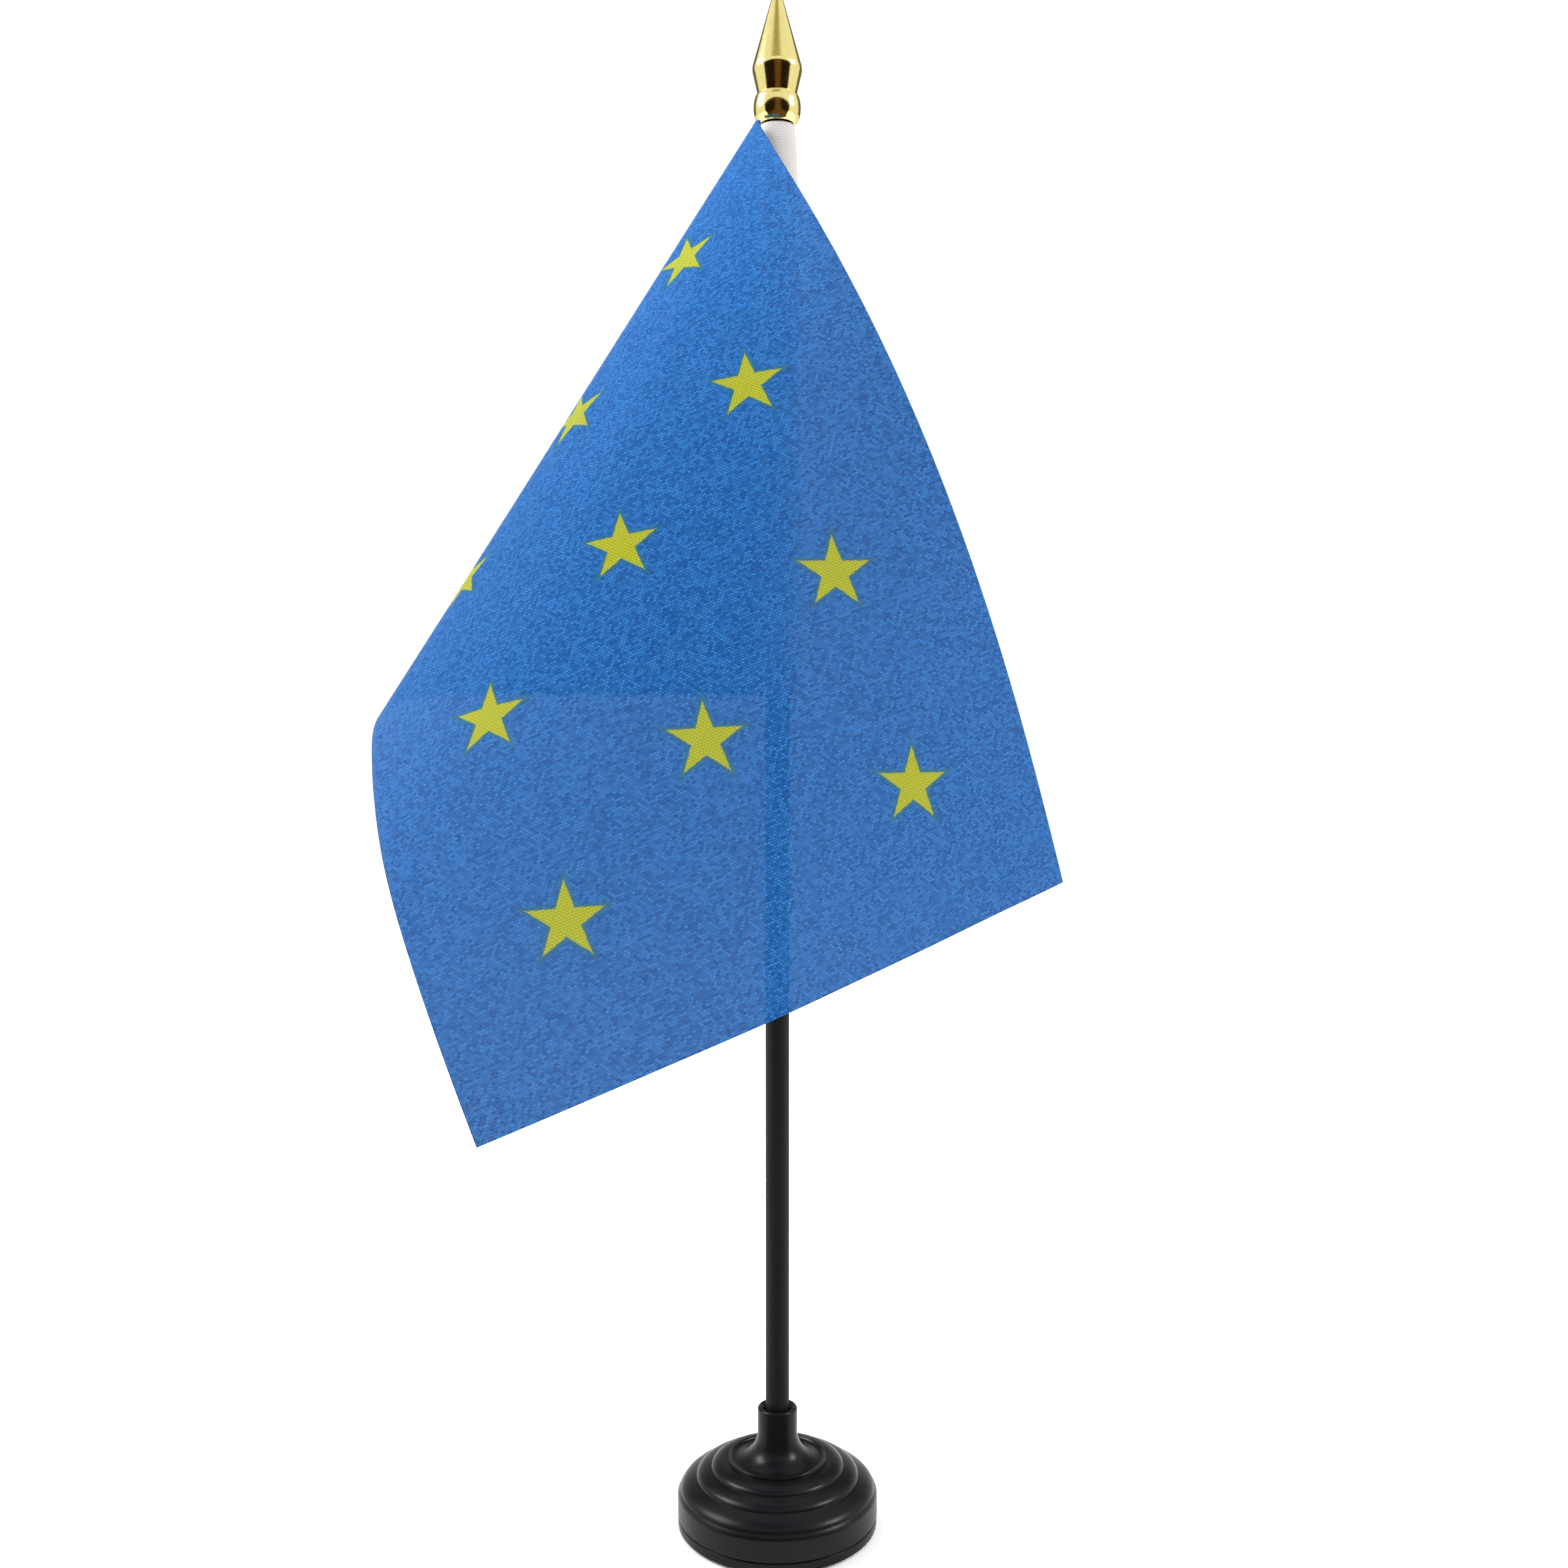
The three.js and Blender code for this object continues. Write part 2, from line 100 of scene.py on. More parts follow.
# %% Material: moulded black polystyrene
def moulded_black():
    material, tree = start_material("moulded_black_polystyrene")
    place = add(tree, "ShaderNodeTexCoord").outputs["Object"]
    grain_per_metre, patches_per_metre = 1 / (0.33 * MM), 1 / (9 * MM)
    grain = add(tree, "ShaderNodeTexNoise", {"Vector": place, "Scale": grain_per_metre})
    patches = add(
        tree, "ShaderNodeTexNoise", {"Vector": place, "Scale": patches_per_metre, "Detail": 4}
    )
    rough = add(
        tree,
        "ShaderNodeMapRange",
        {
            "Value": patches.outputs[0],
            "From Min": 0.3,
            "From Max": 0.7,
            "To Min": 0.25,
            "To Max": 0.34,
        },
    )
    tint = add(
        tree,
        "ShaderNodeMix",
        {0: patches.outputs[0], 6: linear("#090a0b"), 7: linear("#111214")},
        data_type="RGBA",
    )
    bump = add(
        tree,
        "ShaderNodeBump",
        {"Height": grain.outputs[0], "Strength": 0.25, "Distance": 0.03 * MM},
    )
    plastic = add(
        tree,
        "ShaderNodeBsdfPrincipled",
        {
            "Base Color": tint.outputs[2],
            "Roughness": rough.outputs[0],
            "Normal": bump.outputs[0],
            "IOR": 1.5,
            "Specular IOR Level": 0.13,
        },
    )
    show(tree, plastic.outputs[0])
    return material


moulded = moulded_black()
print("made", moulded.name)

# %% [markdown]
# ## Turned pieces
#
# The base, its cover, the pole and the spear are all round about one axis. Each could be spun
# with the Spin tool or the Screw modifier. Geometry Nodes show the rule best: the object's own
# mesh is only its outline, a chain of points. The tree lays a grid with one column for each
# outline point, gives each row a turn about Z, and welds the seam and the poles shut.


# %% The tree that turns an outline
def lathe_tree():
    tree = bpy.data.node_groups.new("turn_outline", "GeometryNodeTree")
    face = tree.interface
    face.new_socket("Outline", in_out="INPUT", socket_type="NodeSocketGeometry")
    face.new_socket("Steps", in_out="INPUT", socket_type="NodeSocketInt")
    face.new_socket("Finish", in_out="INPUT", socket_type="NodeSocketMaterial")
    face.new_socket("Solid", in_out="OUTPUT", socket_type="NodeSocketGeometry")
    given = add(tree, "NodeGroupInput").outputs
    size = add(
        tree, "GeometryNodeAttributeDomainSize", {"Geometry": given["Outline"]}, component="MESH"
    )
    rows = add(tree, "ShaderNodeMath", {0: given["Steps"], 1: 1.0}, operation="ADD")
    grid = add(
        tree,
        "GeometryNodeMeshGrid",
        {"Vertices X": size.outputs["Point Count"], "Vertices Y": rows.outputs[0]},
    )
    index = add(tree, "GeometryNodeInputIndex").outputs[0]
    column = add(tree, "ShaderNodeMath", {0: index, 1: rows.outputs[0]}, operation="DIVIDE")
    column = add(tree, "ShaderNodeMath", {0: column.outputs[0]}, operation="FLOOR")
    row = add(tree, "ShaderNodeMath", {0: index, 1: rows.outputs[0]}, operation="MODULO")
    share = add(tree, "ShaderNodeMath", {0: row.outputs[0], 1: given["Steps"]}, operation="DIVIDE")
    angle = add(tree, "ShaderNodeMath", {0: share.outputs[0], 1: math.tau}, operation="MULTIPLY")
    point = add(
        tree,
        "GeometryNodeSampleIndex",
        {
            "Geometry": given["Outline"],
            "Value": add(tree, "GeometryNodeInputPosition").outputs[0],
            "Index": column.outputs[0],
        },
        data_type="FLOAT_VECTOR",
    )
    turned = add(
        tree,
        "ShaderNodeVectorRotate",
        {"Vector": point.outputs[0], "Angle": angle.outputs[0]},
        rotation_type="Z_AXIS",
    )
    placed = add(
        tree,
        "GeometryNodeSetPosition",
        {"Geometry": grid.outputs["Mesh"], "Position": turned.outputs[0]},
    )
    weld_within = 0.001 * MM
    welded = add(
        tree, "GeometryNodeMergeByDistance", {0: placed.outputs[0], "Distance": weld_within}
    )
    smooth = add(tree, "GeometryNodeSetShadeSmooth", {0: welded.outputs[0]})
    real = add(tree, "GeometryNodeRealizeInstances", {0: smooth.outputs[0]})
    finished = add(
        tree, "GeometryNodeSetMaterial", {0: real.outputs[0], "Material": given["Finish"]}
    )
    add(tree, "NodeGroupOutput", {"Solid": finished.outputs[0]})
    return tree


turn_outline = lathe_tree()
print("tree", turn_outline.name, "has", len(turn_outline.nodes), "nodes")

# %% [markdown]
# ## From a tree to a plain mesh
#
# A live modifier can't be moved by a pose or exported in full, so each tree's result is copied
# into a mesh of its own. The modifier's inputs are set by their identifiers, before the object
# is looked at for the first time. A turned skin may come out inside out, so its faces are made
# to point outwards after the weld.


# %% Run a tree on a mesh
def grown(name, points, edges, tree, sizes):
    """The plain mesh object that a tree makes from points and edges, with its inputs set."""
    seed = bpy.data.meshes.new(name + "_seed")
    seed.from_pydata([tuple(p) for p in points], edges, [])
    maker = bpy.data.objects.new(name + "_maker", seed)
    bpy.context.scene.collection.objects.link(maker)
    modifier = maker.modifiers.new("make", "NODES")
    modifier.node_group = tree
    for item in tree.interface.items_tree:
        if item.in_out == "INPUT" and item.name in sizes:
            modifier[item.identifier] = sizes[item.name]
    graph = bpy.context.evaluated_depsgraph_get()
    mesh = bpy.data.meshes.new_from_object(maker.evaluated_get(graph), depsgraph=graph)
    mesh.name = name
    bpy.data.objects.remove(maker)
    piece = bpy.data.objects.new(name, mesh)
    bpy.context.scene.collection.objects.link(piece)
    return piece


def face_outwards(piece):
    shell = bmesh.new()
    shell.from_mesh(piece.data)
    bmesh.ops.recalc_face_normals(shell, faces=shell.faces)
    shell.to_mesh(piece.data)
    shell.free()


def turned_piece(name, outline, finish, steps=128, crease=32):
    """A piece turned from an outline of (radius, height) in millimetres."""
    points = [(r * MM, 0, z * MM) for r, z in outline]
    edges = [(i, i + 1) for i in range(len(points) - 1)]
    piece = grown(name, points, edges, turn_outline, {"Steps": steps, "Finish": finish})
    face_outwards(piece)
    piece.data.set_sharp_from_angle(angle=math.radians(crease))
    print(name, "has", len(piece.data.polygons), "faces")
    return piece


def eased(corners, radius, steps=4):
    """The outline with each corner rounded, so that its edge catches a line of light."""
    points = [np.array(c, float) for c in corners]
    out = [points[0]]
    for before, here, after in zip(points, points[1:], points[2:]):
        back, on = before - here, after - here
        reach = min(radius, np.hypot(*back) / 2.2, np.hypot(*on) / 2.2)
        start = here + back / np.hypot(*back) * reach
        end = here + on / np.hypot(*on) * reach
        for i in range(steps + 1):
            t = i / steps
            out.append((1 - t) ** 2 * start + 2 * t * (1 - t) * here + t * t * end)
    return [tuple(p) for p in out + [points[-1]]]


# %% [markdown]
# ## The base
#
# The base is one hollow moulding: an upright side, a low dome with three soft rings and a
# narrow fourth one, a flare that sweeps up into the neck, and the socket that holds the pole. The
# outline is drawn from the hollow round the outside and down the socket. Each ring is a low wave
# that leans outwards.

# %% Sizes of the base, in millimetres
BASE_RADIUS, BASE_HEIGHT, RIM_TOP = 18.1, 21.6, 6.6
SHELL_WALL, SHELL_BOTTOM = 1.5, 2.2
NECK_RADIUS, NECK_FOOT, NECK_ROUND = 3.6, 17.2, 0.3
FLARE_RADIUS, DOME_TOP, DOME_FALL = 8.2, 12.1, 1.45
RING_RADII, RING_STEP, RING_LEAN, RING_MARGIN = [8.9, 12.0, 14.7], 0.5, 0.55, 0.5
EDGE_ROUND, RIM_ROUND = 0.2, 0.4
SOCKET_RADIUS, SOCKET_FLOOR, BOSS_RADIUS, BOSS_FLOOR = 2.3, 3.9, 3.4, 1.0
MOUTH_RADIUS, MOUTH_DEPTH = 2.95, 0.9


def dome_height(radius):
    out = max(0.0, (radius - FLARE_RADIUS) / (BASE_RADIUS - FLARE_RADIUS))
    return DOME_TOP - (DOME_TOP - RIM_TOP) * out**DOME_FALL


def ring_outline(outer, inner):
    """One ring of the dome: a wave whose crest leans outwards, from its outer foot inwards."""
    points = []
    for share in np.linspace(0, 1, 22)[:-1] ** 1.8:
        radius = outer + (inner - outer) * share
        wave = math.sin(math.pi * share**RING_LEAN)
        points.append((radius, dome_height(radius) + RING_STEP * wave))
    return points


def shell_outline():
    roof = DOME_TOP - SHELL_WALL - RING_STEP
    boss_bottom = SOCKET_FLOOR - BOSS_FLOOR
    hollow = [(0, boss_bottom), (BOSS_RADIUS, boss_bottom), (BOSS_RADIUS, roof)]
    hollow += [(FLARE_RADIUS, roof)]
    hollow += [(r, dome_height(r) - SHELL_WALL) for r in RING_RADII[1:]]
    hollow += [(BASE_RADIUS - SHELL_WALL, RIM_TOP - SHELL_WALL)]
    hollow += [(BASE_RADIUS - SHELL_WALL, SHELL_BOTTOM)]
    side = [(BASE_RADIUS - EDGE_ROUND, SHELL_BOTTOM), (BASE_RADIUS, SHELL_BOTTOM + EDGE_ROUND)]
    side += [(BASE_RADIUS, RIM_TOP - RIM_ROUND), (BASE_RADIUS - RIM_ROUND / 2, RIM_TOP)]
    edges = [BASE_RADIUS - RING_MARGIN, *reversed(RING_RADII), FLARE_RADIUS]
    rings = [p for outer, inner in zip(edges, edges[1:]) for p in ring_outline(outer, inner)]
    reach = FLARE_RADIUS - NECK_RADIUS
    flare = [
        (FLARE_RADIUS - reach * math.sin(a), NECK_FOOT - (NECK_FOOT - DOME_TOP) * math.cos(a))
        for a in np.linspace(0.08, math.pi / 2, 14)
    ]
    neck = [(NECK_RADIUS, BASE_HEIGHT - NECK_ROUND), (NECK_RADIUS - NECK_ROUND, BASE_HEIGHT)]
    socket = [(MOUTH_RADIUS, BASE_HEIGHT), (SOCKET_RADIUS, BASE_HEIGHT - MOUTH_DEPTH)]
    socket += [(SOCKET_RADIUS, SOCKET_FLOOR), (0, SOCKET_FLOOR)]
    return hollow + side + rings + flare + neck + socket


base_shell = turned_piece("base_moulding", eased(shell_outline(), EDGE_ROUND), moulded, steps=160)
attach(base_shell, "base")
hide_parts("base_shell")

# %% [markdown]
# ## The cover under the base
#
# The hollow is closed from below by a snap-in cover. Its edge shows as a fine line near the foot
# of the side. The cover has a shallow recess for the felt and a lip that finds the shell.

# %% The cover
COVER_INSET, COVER_LIFT, COVER_TOP = 0.05, 0.5, 2.1
RECESS_TOP, RECESS_RADIUS, COVER_FLOOR = 0.9, 16.1, 1.9
PART_GAP, LIP_WALL, LIP_HEIGHT = 0.3, 1.0, 1.5
COVER_EDGE = BASE_RADIUS - COVER_INSET
LIP_RADIUS = BASE_RADIUS - SHELL_WALL - PART_GAP
cover_corners = [
    (0, RECESS_TOP),
    (RECESS_RADIUS, RECESS_TOP),
    (RECESS_RADIUS, COVER_LIFT),
    (COVER_EDGE, COVER_LIFT),
    (COVER_EDGE, COVER_TOP),
    (LIP_RADIUS, COVER_TOP),
    (LIP_RADIUS, COVER_TOP + LIP_HEIGHT),
    (LIP_RADIUS - LIP_WALL, COVER_TOP + LIP_HEIGHT),
    (LIP_RADIUS - LIP_WALL, COVER_FLOOR),
    (0, COVER_FLOOR),
]
base_cover = turned_piece("base_underside", eased(cover_corners, EDGE_ROUND), moulded, steps=160)
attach(base_cover, "base")
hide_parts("base_cover")

# %% [markdown]
# ## Felt and steel
#
# The foot is a disc of pressed wool felt: matted fibres with no weave, so it is drawn with two
# noises, one for the fibres and one for the clumps. The steel ring inside the base only adds
# weight. It was punched from plate, so its faces keep the fine lines of the rolling mill.


# %% Material: pressed felt
def pressed_felt():
    material, tree = start_material("pressed_wool_felt")
    place = add(tree, "ShaderNodeTexCoord").outputs["Object"]
    fibre = add(
        tree, "ShaderNodeTexNoise", {"Vector": place, "Scale": 1 / (0.25 * MM), "Detail": 6}
    )
    clump = add(tree, "ShaderNodeTexNoise", {"Vector": place, "Scale": 1 / (2.5 * MM)})
    both = add(
        tree, "ShaderNodeMath", {0: fibre.outputs[0], 1: clump.outputs[0]}, operation="MULTIPLY"
    )
    tint = add(
        tree,
        "ShaderNodeMix",
        {0: both.outputs[0], 6: linear("#17181a"), 7: linear("#4a4c50")},
        data_type="RGBA",
    )
    bump = add(
        tree, "ShaderNodeBump", {"Height": fibre.outputs[0], "Strength": 0.9, "Distance": 0.2 * MM}
    )
    felt = add(
        tree,
        "ShaderNodeBsdfPrincipled",
        {
            "Base Color": tint.outputs[2],
            "Roughness": 0.95,
            "Sheen Weight": 0.4,
            "Normal": bump.outputs[0],
        },
    )
    show(tree, felt.outputs[0])
    return material


# %% Material: rolled steel
def rolled_steel():
    material, tree = start_material("rolled_steel_plate")
    place = add(tree, "ShaderNodeTexCoord").outputs["Object"]
    stretched = add(tree, "ShaderNodeMapping", {"Vector": place, "Scale": (1.0, 0.03, 1.0)})
    lines = add(
        tree,
        "ShaderNodeTexNoise",
        {"Vector": stretched.outputs[0], "Scale": 1 / (0.3 * MM), "Detail": 5},
    )
    rough = add(
        tree, "ShaderNodeMapRange", {"Value": lines.outputs[0], "To Min": 0.35, "To Max": 0.6}
    )
    tint = add(
        tree,
        "ShaderNodeMix",
        {0: lines.outputs[0], 6: linear("#85888c"), 7: linear("#a3a6a9")},
        data_type="RGBA",
    )
    steel = add(
        tree,
        "ShaderNodeBsdfPrincipled",
        {"Base Color": tint.outputs[2], "Metallic": 1.0, "Roughness": rough.outputs[0]},
    )
    show(tree, steel.outputs[0])
    return material


# %% The felt foot and the weight
PAD_RADIUS, PAD_THICKNESS, PAD_ROUND = 15.8, 0.8, 0.3
pad_corners = [(0, 0), (PAD_RADIUS, 0), (PAD_RADIUS, PAD_THICKNESS), (0, PAD_THICKNESS)]
foot_felt = turned_piece("foot_felt", eased(pad_corners, PAD_ROUND), pressed_felt())
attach(foot_felt, "base")
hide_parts("foot_pad")

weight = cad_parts["base_weight"]
steel_finish = rolled_steel()
for place in weight.material_slots:
    place.material = steel_finish
print("weight finish:", steel_finish.name)

# %% [markdown]
# ## The pole
#
# The pole is an extruded rod of black polystyrene, cut to length with a small chamfer at each
# end. The die leaves fine lines along it, so the noise in its material is stretched along Z.
# The surface is duller than the base, because it never touched a polished mould.


# %% Material: extruded black rod
def extruded_black():
    material, tree = start_material("extruded_black_polystyrene")
    place = add(tree, "ShaderNodeTexCoord").outputs["Object"]
    stretched = add(tree, "ShaderNodeMapping", {"Vector": place, "Scale": (1.0, 1.0, 0.02)})
    lines = add(
        tree,
        "ShaderNodeTexNoise",
        {"Vector": stretched.outputs[0], "Scale": 1 / (0.4 * MM), "Detail": 3},
    )
    rough = add(
        tree, "ShaderNodeMapRange", {"Value": lines.outputs[0], "To Min": 0.42, "To Max": 0.6}
    )
    tint = add(
        tree,
        "ShaderNodeMix",
        {0: lines.outputs[0], 6: linear("#111312"), 7: linear("#1a1d1c")},
        data_type="RGBA",
    )
    bump = add(
        tree, "ShaderNodeBump", {"Height": lines.outputs[0], "Strength": 0.3, "Distance": 0.03 * MM}
    )
    rod = add(
        tree,
        "ShaderNodeBsdfPrincipled",
        {
            "Base Color": tint.outputs[2],
            "Roughness": rough.outputs[0],
            "Normal": bump.outputs[0],
            "IOR": 1.5,
            "Specular IOR Level": 0.1,
        },
    )
    show(tree, rod.outputs[0])
    return material


# %% The pole
POLE_RADIUS, POLE_BOTTOM, POLE_TOP = 2.15, 4.2, 259.6
POLE_CHAMFER, CHAMFER_ROUND = 0.4, 0.1
pole_corners = [
    (0, POLE_BOTTOM),
    (POLE_RADIUS - POLE_CHAMFER, POLE_BOTTOM),
    (POLE_RADIUS, POLE_BOTTOM + POLE_CHAMFER),
    (POLE_RADIUS, POLE_TOP - POLE_CHAMFER),
    (POLE_RADIUS - POLE_CHAMFER, POLE_TOP),
    (0, POLE_TOP),
]
pole = turned_piece("pole_rod", eased(pole_corners, CHAMFER_ROUND), extruded_black(), steps=64)
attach(pole, "pole")
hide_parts("pole")

# %% [markdown]
# ## The gilt spear
#
# The finial is moulded plastic with a coat of metal a few hundredths of a micron thick, laid on
# in a vacuum and lacquered yellow. It mirrors the room almost cleanly, so its look comes from
# what stands round it. A very weak waviness in the skin bends the reflections as the real
# moulding does.


# %% Material: vacuum gilding
def vacuum_gilt():
    material, tree = start_material("vacuum_gilt_plastic")
    place = add(tree, "ShaderNodeTexCoord").outputs["Object"]
    waves = add(
        tree, "ShaderNodeTexNoise", {"Vector": place, "Scale": 1 / (3.5 * MM), "Detail": 1}
    )
    specks = add(
        tree, "ShaderNodeTexNoise", {"Vector": place, "Scale": 1 / (0.6 * MM), "Detail": 4}
    )
    rough = add(
        tree, "ShaderNodeMapRange", {"Value": specks.outputs[0], "To Min": 0.08, "To Max": 0.17}
    )
    tint = add(
        tree,
        "ShaderNodeMix",
        {0: specks.outputs[0], 6: linear("#e3d27f"), 7: linear("#f1e49c")},
        data_type="RGBA",
    )
    bump = add(
        tree, "ShaderNodeBump", {"Height": waves.outputs[0], "Strength": 0.25, "Distance": 0.1 * MM}
    )
    gilt = add(
        tree,
        "ShaderNodeBsdfPrincipled",
        {
            "Base Color": tint.outputs[2],
            "Metallic": 1.0,
            "Roughness": rough.outputs[0],
            "Normal": bump.outputs[0],
        },
    )
    show(tree, gilt.outputs[0])
    return material


# %% The spear's outline
FINIAL_BOTTOM, FINIAL_HEIGHT, FINIAL_TIP = 250.9, 23.8, 0.55
SHOULDER_RADIUS, SHOULDER_HEIGHT = 4.4, 9.6
WAIST_RADIUS, WAIST_HEIGHT = 3.4, 5.1
COLLAR_RADIUS, COLLAR_MIDDLE = 4.15, WAIST_HEIGHT * 0.56
COLLAR_START, COLLAR_END = -62, 90
FOOT_RADIUS, BORE_RADIUS, BORE_DEPTH, BORE_CHAMFER = 3.3, 2.3, 9.0, 0.3


def finial_outline():
    bore = [(0, BORE_DEPTH), (BORE_RADIUS, BORE_DEPTH), (BORE_RADIUS, BORE_CHAMFER)]
    foot = [(BORE_RADIUS + BORE_CHAMFER, 0)]
    foot += [(FOOT_RADIUS - EDGE_ROUND, 0), (FOOT_RADIUS, EDGE_ROUND)]
    swell, rise = COLLAR_RADIUS - WAIST_RADIUS, WAIST_HEIGHT - COLLAR_MIDDLE
    collar = [
        (WAIST_RADIUS + swell * math.cos(a), COLLAR_MIDDLE + rise * math.sin(a))
        for a in np.radians(np.linspace(COLLAR_START, COLLAR_END, 26))
    ]
    tip_middle = FINIAL_HEIGHT - FINIAL_TIP
    slope = math.atan2(SHOULDER_RADIUS, tip_middle - SHOULDER_HEIGHT)
    tip = [
        (FINIAL_TIP * math.cos(a), tip_middle + FINIAL_TIP * math.sin(a))
        for a in np.linspace(slope, math.pi / 2, 9)
    ]
    tip[-1] = (0, FINIAL_HEIGHT)
    # The shoulder's corner stands out a little, because rounding it takes some of it away.
    shoulder = (SHOULDER_RADIUS + 0.05, SHOULDER_HEIGHT)
    outline = eased(bore + foot + collar, 0.08, 2)[:-1]
    outline += eased([collar[-1], shoulder, tip[0]], 0.7, 8)
    return [(r, FINIAL_BOTTOM + z) for r, z in outline[:-1] + tip]


finial = turned_piece("gilt_spear", finial_outline(), vacuum_gilt(), crease=40)
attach(finial, "finial")
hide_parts("finial")

# %% [markdown]
# ## The white pocket
#
# The hoist of the flag is a pocket of white polyester tape, slipped over the pole. It is an oval
# tube, a little tighter at both ends, with soft puckers where the seam pulls it. One wall is
# made from a grid wrapped round the pole, and Solidify gives it the thickness of the tape.

# %% Sizes of the flag, in millimetres
CLOTH_WIDTH, CLOTH_HEIGHT, CLOTH_THICKNESS = 150.0, 100.0, 0.6
KNIT_THICKNESS = 0.28
POCKET_HALF_WIDTH, POCKET_HALF_DEPTH = 3.9, 2.95
TAPE_THICKNESS, TAPE_INSET = 0.35, 0.12
PUCKER_HEIGHT, PUCKERS, SAG_HEIGHT, SAGS = 0.09, 26, 0.12, 4.3
POCKET_NARROWING, POCKET_NARROWING_POWER, SEAM_ANGLE = 0.2, 6, 229.5
HOIST_TOP = 250.6


def grid_piece(name, points, shares, finish, closed=False):
    """A sheet from a grid of points, rows by columns, with shares of its cut as its UV map."""
    rows, columns = points.shape[:2]
    mesh = bpy.data.meshes.new(name)
    faces = [
        (r * columns + c, (r + 1) * columns + c, (r + 1) * columns + c1, r * columns + c1)
        for r in range(rows - 1)
        for c in range(columns if closed else columns - 1)
        for c1 in [(c + 1) % columns]
    ]
    mesh.from_pydata([tuple(p * MM) for p in points.reshape(-1, 3)], [], faces)
    cut = mesh.uv_layers.new(name="cut")
    flat = shares.reshape(-1, 2)
    for face in mesh.polygons:
        corners = [flat[mesh.loops[i].vertex_index].copy() for i in face.loop_indices]
        if max(c[0] for c in corners) - min(c[0] for c in corners) > 0.5:
            for corner in corners:
                corner[0] += 1.0 if corner[0] < 0.5 else 0.0
        for i, corner in zip(face.loop_indices, corners):
            cut.data[i].uv = corner
    for face in mesh.polygons:
        face.use_smooth = True
    mesh.materials.append(finish)
    piece = bpy.data.objects.new(name, mesh)
    bpy.context.scene.collection.objects.link(piece)
    print(name, "has", len(mesh.polygons), "faces")
    return piece


# %% Material: white tape
def white_tape():
    material, tree = start_material("white_polyester_tape")
    cut = add(tree, "ShaderNodeUVMap", uv_map="cut").outputs[0]
    round_it = math.pi * (POCKET_HALF_WIDTH + POCKET_HALF_DEPTH)
    in_mm = add(
        tree,
        "ShaderNodeVectorMath",
        {0: cut, 1: (round_it, CLOTH_HEIGHT, 0)},
        operation="MULTIPLY",
    )
    thread_mm = 0.45
    weave = add(
        tree,
        "ShaderNodeTexBrick",
        {
            "Vector": in_mm.outputs[0],
            "Scale": 1.0,
            "Mortar Size": 0.07,
            "Mortar Smooth": 1.0,
            "Brick Width": 2 * thread_mm,
            "Row Height": thread_mm,
        },
    )
    soil = add(tree, "ShaderNodeTexNoise", {"Vector": in_mm.outputs[0], "Scale": 0.15})
    clean = add(
        tree,
        "ShaderNodeMix",
        {0: soil.outputs[0], 6: linear("#b2adaa"), 7: linear("#bbb6b4")},
        data_type="RGBA",
    )
    tint = add(
        tree,
        "ShaderNodeMix",
        {0: weave.outputs["Fac"], 6: clean.outputs[2], 7: linear("#9b9694")},
        data_type="RGBA",
    )
    bump = add(
        tree,
        "ShaderNodeBump",
        {"Height": weave.outputs["Fac"], "Strength": 0.4, "Distance": 0.08 * MM},
        invert=True,
    )
    tape = add(
        tree,
        "ShaderNodeBsdfPrincipled",
        {
            "Base Color": tint.outputs[2],
            "Roughness": 0.75,
            "Sheen Weight": 0.2,
            "Normal": bump.outputs[0],
        },
    )
    show(tree, tape.outputs[0])
    return material


# %% The pocket's wall
def pocket_points(around=96, levels=220):
    share = np.linspace(0, 1, levels)[:, None]
    angle = np.linspace(0, math.tau, around, endpoint=False)[None, :]
    squeeze = 1 - POCKET_NARROWING * np.abs(2 * share - 1) ** POCKET_NARROWING_POWER
    from_seam = np.cos(angle - math.radians(SEAM_ANGLE))
    pull = 0.5 + 0.5 * from_seam
    puckers = np.sin(share * math.tau * PUCKERS + 1.3 * np.sin(share * 17))
    pucker = PUCKER_HEIGHT * puckers * pull**2
    sag = SAG_HEIGHT * np.sin(share * math.tau * SAGS + 0.8) * np.cos(2 * angle + 6 * share)
    # Only the width narrows, so that the ends still clear the pole.
    x = (POCKET_HALF_WIDTH * squeeze + pucker + sag - TAPE_INSET) * np.cos(angle)
    y = (POCKET_HALF_DEPTH + pucker + sag - TAPE_INSET) * np.sin(angle)
    z = HOIST_TOP - CLOTH_HEIGHT * (1 - share) + 0 * angle
    shares = np.stack([angle / math.tau + 0 * share, share + 0 * angle], -1)
    return np.stack([x, y, z], -1), shares


tape_finish = white_tape()
pocket = grid_piece("hoist_pocket", *pocket_points(), tape_finish, closed=True)
face_outwards(pocket)
tape_wall = pocket.modifiers.new("tape", "SOLIDIFY")
tape_wall.thickness, tape_wall.offset = TAPE_THICKNESS * MM, -1
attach(pocket, "flag")
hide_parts("flag_sleeve")

# %% [markdown]
# ## The hanging cloth
#
# Cloth hardly stretches, so a flag at rest bends only along straight lines. This one hangs from
# its top corner. Beside the pole it is flat. Then it rolls forward through a fold whose lines all
# run down from one point just above the corner, and beyond the fold it curls gently about lines
# parallel to the last of them. The same rule shapes the engineering model, so no simulation is
# needed to find the shape. The rule keeps the cloth's cut size, and only the faint waves laid
# over it change that, by very little.

# %% The rule of the fold
APEX_RISE, HOIST_HEADING = 1.0, 9.3
FOLD_START, FOLD_END, FOLD_TURN, FOLD_SKEW = 8.0, 40.6, 116.8, 2.17
CURL_START, CURL_EASE = 0.0246, 0.00021
WAVE_HEIGHT = 0.35


